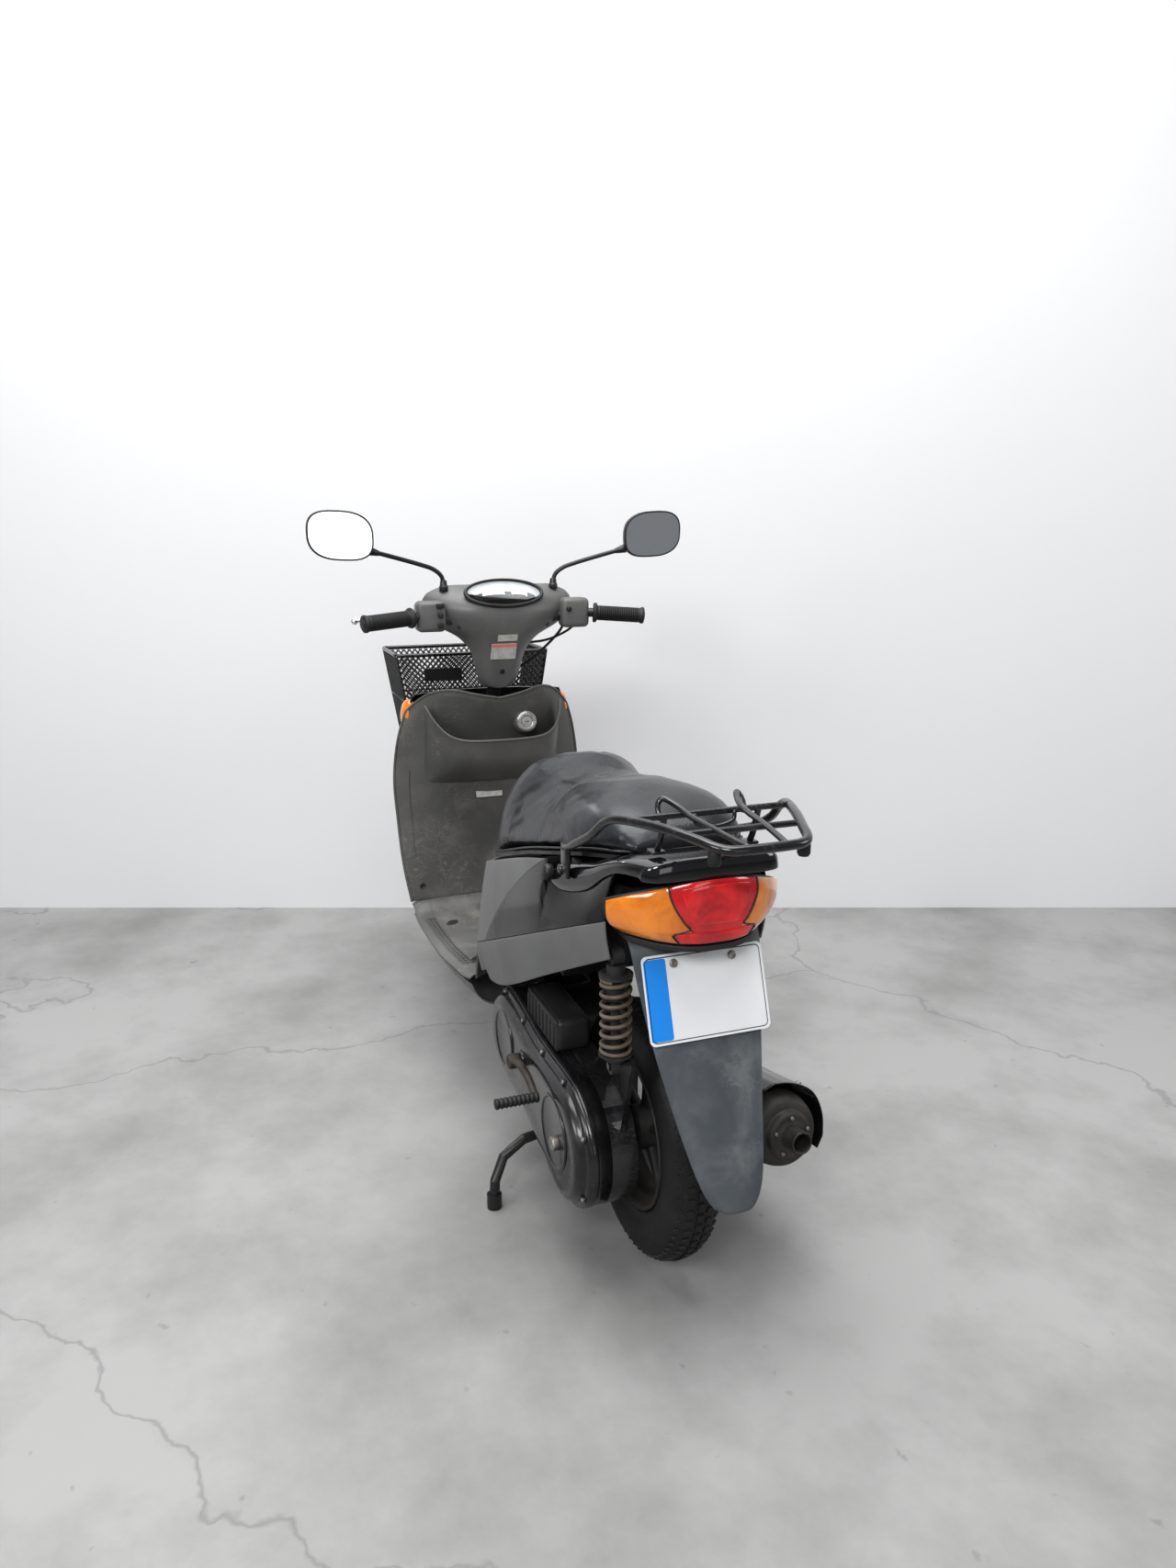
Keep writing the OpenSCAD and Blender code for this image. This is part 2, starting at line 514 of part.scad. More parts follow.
module headlamp_shape(h, grow) translate([392 - h / 2, 0, 956]) rotate([0, 90, 0]) scale([0.55, 1, 1])
    cylinder(h = h, r = 74 + grow, $fn = 48);
module headlamp_lens() color([0.9, 0.92, 0.95]) headlamp_shape(14, 0);
module instrument_panel() color([0.75, 0.78, 0.8]) gauge_oval(8, 0);
// Switch keys
dip_place = [246, 134, 994];
turn_place = [246, 134, 974];
horn_place = [246, 136, 952];
start_place = [250, -141, 985];
module key_cut(place, size) translate(place - [4, gap, gap])
    cube([size[0] + 6, size[1] + 2 * gap, size[2] + 2 * gap]);
module key_block(place, size) translate(place) cube(size);
module dip_switch() color([0.05, 0.05, 0.05]) key_block(dip_place, [9, 16, 10]);
module indicator_switch() color([0.05, 0.05, 0.05]) key_block(turn_place + [0, 3, 0], [9, 10, 10]);
module horn_button() color([0.6, 0.1, 0.08]) key_block(horn_place, [9, 12, 12]);
module starter_button() color([0.05, 0.05, 0.05]) translate(start_place) rotate([0, -90, 0])
    translate([0, 0, -6]) cylinder(h = 10, r = 6, $fn = 48);
module brake_cable() color([0.01, 0.01, 0.01]) bar([[306, -150, 950], [330, -136, 915], [356, -104, 880],
    [378, -62, 848], [392, -24, 822], steer_at(780) + [32, -10, 0], steer_at(700) + [32, 0, 0],
    steer_at(600) + [32, 0, 0], leg_at(clamp_t + 50), leg_at(clamp_t + 24.6)], 3, 8, [1, 0, 0.3]);
// Mirrors
mirror_base = [300, 122, 1014];
mirror_joint = [272, 282, 1112];
mirror_centre = [262, 338, 1142];
module mirror_stem_left() color([0.03, 0.03, 0.03]) {
    translate(mirror_base) cylinder(h = 20, r = 5, $fn = 32);
    translate(mirror_base + [0, 0, 20]) cylinder(h = 6, r = 9, $fn = 32);
    bar([mirror_base + [0, 0, 22], mirror_base + [-1, 4, 44], mirror_base + [-6, 22, 58], mirror_joint], 4.5, 10,
        [1, 0, 0]);
    translate(mirror_joint) sphere(r = 7, $fn = 32);
}
function mirror_ring(x, grow) = [for (k = [0 : 23]) let (a = 15 * k, c = cos(a), s = sin(a))
    mirror_centre + [x, (66 + grow) * sign(c) * pow(abs(c), 0.72), (49 + grow) * sign(s) * pow(abs(s), 0.72)
        + 6.6 * c]];
module mirror_head_left() color([0.03, 0.03, 0.03]) difference() {
    loft([mirror_ring(-9, -2), mirror_ring(-5, 0), mirror_ring(6, -1), mirror_ring(20, -16), mirror_ring(27, -34)]);
    translate(mirror_joint) sphere(r = 7 + gap, $fn = 32);
    bar([mirror_joint - 60 * unit(mirror_joint - mirror_base), mirror_joint], 7, 12);
}
module mirror_stem_right() mirror([0, 1, 0]) mirror_stem_left();
module mirror_head_right() mirror([0, 1, 0]) mirror_head_left();

// ---------- front wheel ----------
module wheel_place(x, z) translate([x, 0, z]) rotate([90, 0, 0]) children();
module tyre_shape() rotate_extrude($fn = 96) polygon([[rim_seat_r + 0.3, -31], [136.5, -31],
    [141, -tyre_w * 0.45], [162, -tyre_w / 2],
    [tyre_r - 20, -tyre_w * 0.44], [tyre_r - 6, -tyre_w * 0.28], [tyre_r, -tyre_w * 0.08],
    [tyre_r, tyre_w * 0.08], [tyre_r - 6, tyre_w * 0.28], [tyre_r - 20, tyre_w * 0.44], [162, tyre_w / 2],
    [141, tyre_w * 0.45], [136.5, 31], [rim_seat_r + 0.3, 31], [rim_seat_r + 0.3, 24], [146, 30],
    [165, tyre_w / 2 - 9],
    [tyre_r - 24, tyre_w * 0.32], [tyre_r - 14, 0], [tyre_r - 24, -tyre_w * 0.32], [165, 9 - tyre_w / 2],
    [146, -30], [rim_seat_r + 0.3, -24]]);
module rim_shape(hub_low, hub_high, bore_r) difference() {
    union() {
        rotate_extrude($fn = 96) polygon([[rim_seat_r, -31.6], [136, -31.6], [136, -35], [121, -35], [117, -16],
            [117, 16], [121, 35], [136, 35], [136, 31.6], [rim_seat_r, 31.6]]);
        translate([0, 0, hub_low]) cylinder(h = hub_high - hub_low, r = 27, $fn = 64);
        for (i = [0 : 4]) rotate([0, 0, 72 * i + 18]) translate([20, -12, -10]) cube([100, 24, 20]);
    }
    translate([0, 0, hub_low - 1]) cylinder(h = hub_high - hub_low + 2, r = bore_r, $fn = 64);
}
module front_tyre() color([0.02, 0.02, 0.02]) wheel_place(front_axle_x, front_axle_z) tyre_shape();
module front_rim() color([0.4, 0.4, 0.42]) wheel_place(front_axle_x, front_axle_z)
    rim_shape(-45, 45, axle_r + run_gap);
disc_y = 45;
module brake_disc() color([0.6, 0.6, 0.6]) wheel_place(front_axle_x, front_axle_z) difference() {
    translate([0, 0, -disc_y - 4]) cylinder(h = 4, r = 80, $fn = 96);
    translate([0, 0, -disc_y - 5]) cylinder(h = 6, r = 16, $fn = 64);
}
module fork_slider() color([0.45, 0.45, 0.47]) difference() {
    union() {
        mirrored() rod(leg_at(-24) + [0, fork_half, 0], leg_at(195) + [0, fork_half, 0], 18);
        y_cyl([front_axle_x, 0, front_axle_z], -fork_half, fork_half, axle_r);
        difference() {
            translate([front_axle_x, 0, front_axle_z]) rotate([0, -34, 0]) translate([-18, 41, 64])
                cube([36, 34, 36]);
            wheel_place(front_axle_x, front_axle_z) translate([0, 0, -disc_y - 5])
                cylinder(h = 6, r = 82, $fn = 96);
        }
    }
    mirrored() rod(leg_at(34) + [0, fork_half, 0], leg_at(210) + [0, fork_half, 0], stanchion_r + run_gap);
}
fender_half = fork_half - 18 - gap;
module front_fender() color([0.02, 0.02, 0.025]) wheel_place(front_axle_x, front_axle_z) rotate([0, 0, 25])
    rotate_extrude(angle = 130, $fn = 96) polygon([[224, -fender_half + 8], [224, fender_half - 8],
        [214, fender_half], [182, fender_half], [182, fender_half - 3], [213, fender_half - 3],
        [221, fender_half - 9], [221, 9 - fender_half], [213, 3 - fender_half], [182, 3 - fender_half],
        [182, -fender_half], [214, -fender_half]]);

// ---------- seat ----------
function seat_top(x) = lookup(x, [[-690, 706], [-672, 732], [-640, 768], [-560, 786], [-450, 770], [-330, 750],
    [-240, 762], [-190, 752], [-140, 706], [-100, 622], [-84, 580]]);
function seat_w(x) = seat_half_w * lookup(x, [[-672, 0.58], [-640, 0.76], [-560, 0.91], [-450, 0.98],
    [-300, 1], [-140, 0.98], [-84, 0.94]]);
seat_x = [-86, -100, -140, -190, -240, -330, -450, -560, -640, -670];
pan_t = 6;
function seat_ring(x) = let (low = seat_low(x) + pan_t + gap, high = seat_top(x), mid = low + 0.3 * (high - low))
    [for (k = [0 : 19]) let (a = 18 * k + 9, c = cos(a), s = sin(a))
        [x, seat_w(x) * sign(c) * pow(abs(c), 0.55),
        s > 0 ? mid + (high - mid) * pow(s / sin(81), 0.8) : mid - (mid - low) * pow(-s / sin(81), 0.35)]];
module seat_cushion() color([0.03, 0.03, 0.03]) loft([for (x = seat_x) seat_ring(x)]);
module seat_pan() color([0.06, 0.06, 0.06]) {
    plate([for (x = seat_x) [for (s = steps) [x, (seat_w(x) - 6) * s, seat_low(x)]]],
        [for (x = seat_x) [for (s = steps) [x, (seat_w(x) - 6) * s, seat_low(x) + pan_t]]]);
    y_cyl(hinge, -27, 27, 6);
    translate([hinge[0] - 5, -27, hinge[2]]) cube([10, 54, 10]);
    y_cyl(hinge, -38, 38, 3);
}

// ---------- engine ----------
module belt_shape(grow, y0, y1) translate([0, y1, 0]) rotate([90, 0, 0])
    linear_extrude(y1 - y0) belt_outline(grow);
function around(centre, r, angle) = [centre[0] + r * cos(angle), centre[1] + r * sin(angle)];
// Outline of the belt case, round at the crank and at the rear axle
module belt_outline(grow) {
    r1 = crank_case_r + grow;
    r2 = rear_case_r + grow;
    from = [crank[0], crank[2]];
    to = [rear_axle_x, rear_axle_z];
    dir = atan2(to[1] - from[1], to[0] - from[0]);
    lean = acos((r1 - r2) / norm(to - from));
    polygon(joined([
        [for (k = [0 : 28]) around(from, r1, dir + lean + (360 - 2 * lean) * k / 28)],
        [for (k = [0 : 28]) around(to, r2, dir - lean + 2 * lean * k / 28)]]));
}
driven = [rear_axle_x + 16, 0, rear_axle_z + 18];
rear_axle_r = 8;
module engine_case() color([0.2, 0.2, 0.21]) difference() {
    union() {
        belt_shape(0, case_y, case_split_y);
        y_cyl(crank, -86, case_y + 2, 72);
        // Cylinder and head with its fins
        rod(crank, crank + [136, 0, 29.6], 42);
        for (i = [0 : 4]) rod(crank + [78 + 11 * i, 0, 17 + 2.4 * i], crank + [82 + 11 * i, 0, 17.9 + 2.4 * i], 52);
        // Hanger ears
        for (y = [-58, 46]) translate([0, y + 12, 0]) rotate([90, 0, 0]) linear_extrude(12)
            polygon([[pivot[0] - 16, pivot[2] - 6], [pivot[0] - 10, pivot[2] + 14], [pivot[0] + 10, pivot[2] + 14],
                [pivot[0] + 16, pivot[2] - 6], [-160, 270], [-240, 290]]);
        // Stand lugs beside the tyre
        translate([0, -52, 0]) rotate([90, 0, 0]) linear_extrude(12)
            polygon([[-250, 200], [-265, 165], [stand_pivot[0] + 4, stand_pivot[2] - 13],
                [stand_pivot[0] - 12, stand_pivot[2]], [stand_pivot[0] - 2, stand_pivot[2] + 13], [-300, 190]]);
        translate([0, 76, 0]) rotate([90, 0, 0]) linear_extrude(12)
            polygon([[-330, 190], [stand_pivot[0] + 12, stand_pivot[2] - 8], [stand_pivot[0], stand_pivot[2] - 13],
                [stand_pivot[0] - 12, stand_pivot[2] - 6], [-420, 190]]);
        y_cyl(stand_pivot, -80, -52, stand_pin_r);
        y_cyl(stand_pivot, 64, 94, stand_pin_r);
        // Rear axle and the lower mount of the shock absorber
        y_cyl([rear_axle_x, 0, rear_axle_z], -50, case_y + 10, rear_axle_r);
        translate([0, shock_y - 20, 0]) rotate([90, 0, 0]) linear_extrude(8)
            polygon([[-560, 300], [-600, 250], [-630, 270], [shock_x - 13, shock_low_z - 2],
                [shock_x - 8, shock_low_z + 11], [shock_x + 8, shock_low_z + 11]]);
        y_cyl([shock_x, 0, shock_low_z], shock_y - 22, shock_y + 12, pin_r);
    }
    y_cyl(pivot, -100, 100, pivot_r + run_gap);
    // Room for the pulleys and their shafts
    belt_shape(-8, case_split_y - 14, case_split_y + 5);
    y_cyl(crank, 40, case_split_y, 9 + run_gap);
    y_cyl(driven, 70, case_split_y, 9 + run_gap);
}
module cvt_cover() color([0.06, 0.06, 0.065]) difference() {
    union() {
        belt_shape(0, case_split_y + gap, case_face_y - 12);
        belt_shape(-11.3, case_split_y + 20, case_face_y);
        y_cyl(kick_shaft, case_face_y - 6, case_face_y + 4, 15);
    }
    belt_shape(-17, case_split_y - 1, case_face_y - 5);
    y_cyl(kick_shaft, 120, case_face_y + 10, 8 + run_gap);
}
kick_shaft = [-345, 0, 262];
module kick_lever() color([0.15, 0.15, 0.15]) {
    y_cyl(kick_shaft, case_face_y - 14, case_face_y + 26, 8);
    y_cyl(kick_shaft, case_face_y + 4 + gap, case_face_y + 24, 13);
    bar([kick_shaft + [0, case_face_y + 14, 0], kick_shaft + [-30, case_face_y + 16, 16],
        kick_shaft + [-90, case_face_y + 18, 22], kick_shaft + [-140, case_face_y + 20, 6]], 7, 10);
    y_cyl(kick_shaft + [-140, 0, 6], case_face_y + 12, case_face_y + 86, 9);
}
module pulley(centre, r) {
    y_cyl(centre, 62, 138, 9);
    difference() {
        y_cyl(centre, 104, 138, r);
        translate([centre[0], 121, centre[2]]) rotate([90, 0, 0]) rotate_extrude($fn = 64)
            polygon([[r * 0.62, -3], [r + 1, -8], [r + 1, 8], [r * 0.62, 3]]);
    }
}
module drive_pulley() color([0.5, 0.5, 0.5]) pulley(crank, 52);
module driven_pulley() color([0.5, 0.5, 0.5]) difference() {
    pulley(driven, 64);
    y_cyl(driven, 50, 71, 20);
}
module air_cleaner() color([0.08, 0.08, 0.08]) {
    difference() {
        translate([-455, 66, 318]) cube([165, 62, 60]);
        belt_shape(gap, 60, 140);
    }
}
muffler_a = [-330, -150, 196];
muffler_b = [-700, -166, 254];
muffler_r = 50;
module muffler() color([0.04, 0.04, 0.04]) {
    difference() {
        union() {
            rod(muffler_a, muffler_b, muffler_r);
            rod(muffler_a - 30 * muffler_dir, muffler_a + 5 * muffler_dir, 34);
            rod(muffler_b, muffler_b + 12 * muffler_dir, muffler_r - 12);
            rod(muffler_b, muffler_b + 32 * muffler_dir, 14);
        }
        rod(muffler_b - 20 * muffler_dir, muffler_b + 40 * muffler_dir, 11);
        rod(muffler_a + 8 * muffler_dir, muffler_b - 12 * muffler_dir, muffler_r - 4);
    }
    bar([[-300, -150, 192], [-250, -142, 186], [-180, -120, 176], [-120, -76, 178], [-98, -30, 186],
        [-92, 0, 204], [-92, 0, 220.7]], 13, 10, [1, 0, 0.2]);
    translate([-315, -112, 214]) cube([50, 26 - gap, 26]);
}
muffler_dir = unit(muffler_b - muffler_a);
muffler_out = unit(cross([0, 0, 1], muffler_dir));
muffler_over = cross(muffler_dir, muffler_out);
function shield_ring(t, r) = [for (a = [-35 : 15 : 115])
    muffler_a + t * (muffler_b - muffler_a) + r * (cos(a) * -muffler_out + sin(a) * muffler_over)];
module muffler_shield() color([0.02, 0.02, 0.02]) {
    plate([for (t = [0.22, 0.4, 0.6, 0.8, 0.98]) shield_ring(t, muffler_r + 0.7)],
        [for (t = [0.22, 0.4, 0.6, 0.8, 0.98]) shield_ring(t, muffler_r + 5 + 4 * sin(t * 180))]);
}
module rear_tyre() color([0.02, 0.02, 0.02]) wheel_place(rear_axle_x, rear_axle_z) tyre_shape();
module rear_rim() color([0.3, 0.3, 0.32]) wheel_place(rear_axle_x, rear_axle_z)
    rim_shape(-48, 46, rear_axle_r + run_gap);

// ---------- stand ----------
module centre_stand() color([0.03, 0.03, 0.03]) difference() {
    union() {
        bar(both_sides([[-366, 214, 14], [-362, 211, 48], [-350, 192, 84], [-334, 150, 101], [-325, 110, 102]]),
            9, 12, [1, 0, 0]);
        for (y = [-72, 84]) bar([[-325, y, 102], [-350, y, 108], [-380, y, 117]], 6, 10);
        y_cyl(stand_pivot, -78, -66, 12);
        y_cyl(stand_pivot, 78, 90, 12);
        mirrored() translate([-366, 214, 0]) cylinder(h = 26, r = 13, $fn = 48);
    }
    y_cyl(stand_pivot, -100, 100, stand_pin_r + run_gap);
}

// ---------- rear shock absorber ----------
module shock_absorber() color([0.1, 0.1, 0.1]) difference() {
    union() {
        y_cyl([shock_x, 0, shock_top_z], shock_y - 9, shock_y + 9, eye_r);
        translate([shock_x, shock_y, 505]) cylinder(h = 54, r = 14, $fn = 48);
        translate([shock_x, shock_y, 540]) cylinder(h = 4, r = 25, $fn = 48);
    }
    y_cyl([shock_x, 0, shock_top_z], 0, 200, pin_r + run_gap);
    translate([shock_x, shock_y, 450]) cylinder(h = 106, r = 7 + run_gap, $fn = 48);
}
module shock_rod() color([0.35, 0.28, 0.22]) difference() {
    union() {
        translate([shock_x, shock_y, shock_low_z + 6]) cylinder(h = 92, r = 7, $fn = 48);
        translate([shock_x, shock_y, shock_low_z + 10]) cylinder(h = 24, r = 16, $fn = 48);
        translate([shock_x, shock_y, shock_low_z + 18]) cylinder(h = 4, r = 25, $fn = 48);
        y_cyl([shock_x, 0, shock_low_z], shock_y - 3, shock_y + 9, eye_r);
    }
    y_cyl([shock_x, 0, shock_low_z], 0, 200, pin_r + 2.5);
}
spring_low_z = shock_low_z + 22 + gap;
spring_high_z = 540 - gap;
module shock_spring() color([0.5, 0.45, 0.4]) {
    turns = 7;
    points = [for (k = [0 : turns * 12]) let (a = 30 * k, t = k / (turns * 12))
        [shock_x + 21 * cos(a), shock_y + 21 * sin(a),
            spring_low_z + 3.2 + t * (spring_high_z - spring_low_z - 6.4)]];
    bar(points, 3.2, 6, [0, 0, 1]);
}

main_frame();
front_cover();
leg_shield();
floor_board();
under_cover();
seat_front_panel();
tail_cover();
side_covers();
lower_skirts();
tail_lamp_lens();
indicator_lenses();
rear_fender();
number_plate();
cover_bolts();
rear_carrier();
fuel_tank();
battery();
helmet_box();
front_basket();
ignition_key();
steering_stem();
handlebar();
bar_cover_rear();
bar_cover_front();
headlamp_lens();
instrument_panel();
left_grip();
brake_cable();
throttle_grip();
brake_lever_left();
brake_lever_right();
indicator_switch();
dip_switch();
horn_button();
starter_button();
mirror_stem_left();
mirror_head_left();
mirror_stem_right();
mirror_head_right();
fork_slider();
front_fender();
front_tyre();
front_rim();
brake_disc();
seat_pan();
seat_cushion();
engine_case();
cvt_cover();
drive_pulley();
driven_pulley();
air_cleaner();
muffler();
muffler_shield();
rear_tyre();
rear_rim();
kick_lever();
centre_stand();
shock_absorber();
shock_spring();
shock_rod();
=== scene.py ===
import json
import math
import random

import bmesh
import bpy
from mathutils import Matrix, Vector

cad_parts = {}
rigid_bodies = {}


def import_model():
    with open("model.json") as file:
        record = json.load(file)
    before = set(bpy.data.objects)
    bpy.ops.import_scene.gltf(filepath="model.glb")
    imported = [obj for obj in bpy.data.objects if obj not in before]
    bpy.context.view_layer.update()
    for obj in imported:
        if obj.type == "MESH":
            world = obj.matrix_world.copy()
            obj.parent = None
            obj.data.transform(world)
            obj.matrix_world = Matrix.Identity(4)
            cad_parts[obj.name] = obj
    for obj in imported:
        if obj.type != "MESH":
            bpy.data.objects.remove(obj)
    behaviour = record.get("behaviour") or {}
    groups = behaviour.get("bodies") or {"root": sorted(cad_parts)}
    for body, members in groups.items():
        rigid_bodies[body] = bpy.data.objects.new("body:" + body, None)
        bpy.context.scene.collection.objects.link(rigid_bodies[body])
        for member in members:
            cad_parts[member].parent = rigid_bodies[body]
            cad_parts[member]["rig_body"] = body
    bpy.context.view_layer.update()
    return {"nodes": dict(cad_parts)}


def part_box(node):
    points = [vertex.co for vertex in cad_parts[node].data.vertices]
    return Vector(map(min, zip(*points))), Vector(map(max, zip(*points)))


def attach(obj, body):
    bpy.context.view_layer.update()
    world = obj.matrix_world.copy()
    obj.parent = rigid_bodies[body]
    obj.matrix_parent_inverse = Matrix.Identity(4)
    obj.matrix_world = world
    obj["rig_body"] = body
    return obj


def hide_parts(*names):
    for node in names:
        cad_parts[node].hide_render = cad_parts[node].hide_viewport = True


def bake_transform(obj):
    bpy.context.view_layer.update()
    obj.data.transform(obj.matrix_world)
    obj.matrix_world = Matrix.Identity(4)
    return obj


for obj in list(bpy.data.objects):
    bpy.data.objects.remove(obj)
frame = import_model()
nodes = frame["nodes"]
scene = bpy.context.scene
print("frame loaded")


# Camera
cameraPlace = {"eye": (-2.019, 0.642, 1.176), "yaw": 20.03, "pitch": 13.62, "lens": 25.2, "wall": 3.30}


def lookDirection(yaw, pitch):
    y, p = math.radians(yaw), math.radians(pitch)
    return Vector((math.cos(p) * math.cos(y), -math.cos(p) * math.sin(y), -math.sin(p)))


camera = bpy.data.objects.new("photoCamera", bpy.data.cameras.new("photoCamera"))
scene.collection.objects.link(camera)
camera.location = cameraPlace["eye"]
camera.rotation_mode = "QUATERNION"
camera.rotation_quaternion = lookDirection(cameraPlace["yaw"], cameraPlace["pitch"]).to_track_quat("-Z", "Y")
camera.data.lens = cameraPlace["lens"]
camera.data.sensor_width = 36
camera.data.clip_start = 0.05
scene.camera = camera


# Shader groups
def newShaderGroup(name, inputs, outputs):
    tree = bpy.data.node_groups.new(name, "ShaderNodeTree")
    for label, value in inputs:
        socket = tree.interface.new_socket(name=label, in_out="INPUT", socket_type="NodeSocketFloat")
        socket.default_value = value
    for label in outputs:
        tree.interface.new_socket(name=label, in_out="OUTPUT", socket_type="NodeSocketFloat")
    return tree, tree.nodes.new("NodeGroupInput"), tree.nodes.new("NodeGroupOutput")


def addNode(tree, kind, **settings):
    node = tree.nodes.new(kind)
    for key, value in settings.items():
        if key in node.inputs:
            node.inputs[key].default_value = value
        else:
            setattr(node, key, value)
    return node


def makePatchGroup():
    # Cloudy patches with soft borders: worn, faded or dusty areas
    tree, given, made = newShaderGroup("cloudyPatches", [("Scale", 6.0), ("Cover", 0.5), ("Softness", 0.2)], ["Mask"])
    place = tree.nodes.new("ShaderNodeTexCoord")
    wide = addNode(tree, "ShaderNodeTexNoise", Detail=7.0, Roughness=0.62, Distortion=0.4)
    low = addNode(tree, "ShaderNodeMath", operation="SUBTRACT")
    high = addNode(tree, "ShaderNodeMath", operation="ADD")
    flip = addNode(tree, "ShaderNodeMath", operation="SUBTRACT")
    flip.inputs[0].default_value = 1.0
    span = addNode(tree, "ShaderNodeMapRange", interpolation_type="SMOOTHSTEP")
    link = tree.links.new
    link(place.outputs["Object"], wide.inputs["Vector"])
    link(given.outputs["Scale"], wide.inputs["Scale"])
    link(given.outputs["Cover"], flip.inputs[1])
    link(flip.outputs[0], low.inputs[0])
    link(given.outputs["Softness"], low.inputs[1])
    link(flip.outputs[0], high.inputs[0])
    link(given.outputs["Softness"], high.inputs[1])
    link(wide.outputs["Fac"], span.inputs["Value"])
    link(low.outputs[0], span.inputs["From Min"])
    link(high.outputs[0], span.inputs["From Max"])
    link(span.outputs["Result"], made.inputs["Mask"])
    return tree


def makeGrainGroup():
    # Moulded grain: small rounded cells over a fine noise
    tree, given, made = newShaderGroup("mouldedGrain", [("Scale", 700.0), ("Cells", 0.5)], ["Height"])
    place = tree.nodes.new("ShaderNodeTexCoord")
    fine = addNode(tree, "ShaderNodeTexNoise", Detail=3.0, Roughness=0.6)
    cells = addNode(tree, "ShaderNodeTexVoronoi", feature="SMOOTH_F1")
    mix = addNode(tree, "ShaderNodeMix", data_type="FLOAT")
    link = tree.links.new
    link(place.outputs["Object"], fine.inputs["Vector"])
    link(place.outputs["Object"], cells.inputs["Vector"])
    link(given.outputs["Scale"], fine.inputs["Scale"])
    link(given.outputs["Scale"], cells.inputs["Scale"])
    link(given.outputs["Cells"], mix.inputs["Factor"])
    link(fine.outputs["Fac"], mix.inputs[2])
    link(cells.outputs["Distance"], mix.inputs[3])
    link(mix.outputs[0], made.inputs["Height"])
    return tree


def makeScuffGroup():
    # Thin scuff lines: noise stretched along one way, cut to narrow bands
    tree, given, made = newShaderGroup("scuffLines", [("Scale", 30.0), ("Amount", 0.5)], ["Mask"])
    place = tree.nodes.new("ShaderNodeTexCoord")
    stretch = addNode(tree, "ShaderNodeMapping")
    stretch.inputs["Scale"].default_value = (0.25, 1.0, 1.6)
    stretch.inputs["Rotation"].default_value = (0.4, 0.7, 0.2)
    lines = addNode(tree, "ShaderNodeTexNoise", Detail=4.0, Roughness=0.7, Distortion=0.8)
    off = addNode(tree, "ShaderNodeMath", operation="SUBTRACT")
    off.inputs[1].default_value = 0.5
    size = addNode(tree, "ShaderNodeMath", operation="ABSOLUTE")
    band = addNode(tree, "ShaderNodeMapRange")
    band.inputs["From Min"].default_value = 0.0
    band.inputs["From Max"].default_value = 0.02
    band.inputs["To Min"].default_value = 1.0
    band.inputs["To Max"].default_value = 0.0
    patchy = addNode(tree, "ShaderNodeTexNoise", Scale=9.0, Detail=2.0)
    gate = addNode(tree, "ShaderNodeMapRange")
    gate.inputs["From Min"].default_value = 0.5
    gate.inputs["From Max"].default_value = 0.62
    both = addNode(tree, "ShaderNodeMath", operation="MULTIPLY")
    level = addNode(tree, "ShaderNodeMath", operation="MULTIPLY")
    link = tree.links.new
    link(place.outputs["Object"], stretch.inputs["Vector"])
    link(stretch.outputs["Vector"], lines.inputs["Vector"])
    link(given.outputs["Scale"], lines.inputs["Scale"])
    link(lines.outputs["Fac"], off.inputs[0])
    link(off.outputs[0], size.inputs[0])
    link(size.outputs[0], band.inputs["Value"])
    link(place.outputs["Object"], patchy.inputs["Vector"])
    link(patchy.outputs["Fac"], gate.inputs["Value"])
    link(band.outputs["Result"], both.inputs[0])
    link(gate.outputs["Result"], both.inputs[1])
    link(both.outputs[0], level.inputs[0])
    link(given.outputs["Amount"], level.inputs[1])
    link(level.outputs[0], made.inputs["Mask"])
    return tree


patchGroup, grainGroup, scuffGroup = makePatchGroup(), makeGrainGroup(), makeScuffGroup()


def placeGroup(tree, group, **values):
    node = tree.nodes.new("ShaderNodeGroup")
    node.node_tree = group
    for label, value in values.items():
        node.inputs[label].default_value = value
    return node


def blendColour(tree, mask, below, above):
    mix = addNode(tree, "ShaderNodeMix", data_type="RGBA")
    tree.links.new(mask, mix.inputs["Factor"])
    if isinstance(below, tuple):
        mix.inputs[6].default_value = (*below, 1)
    else:
        tree.links.new(below, mix.inputs[6])
    mix.inputs[7].default_value = (*above, 1)
    return mix.outputs[2]


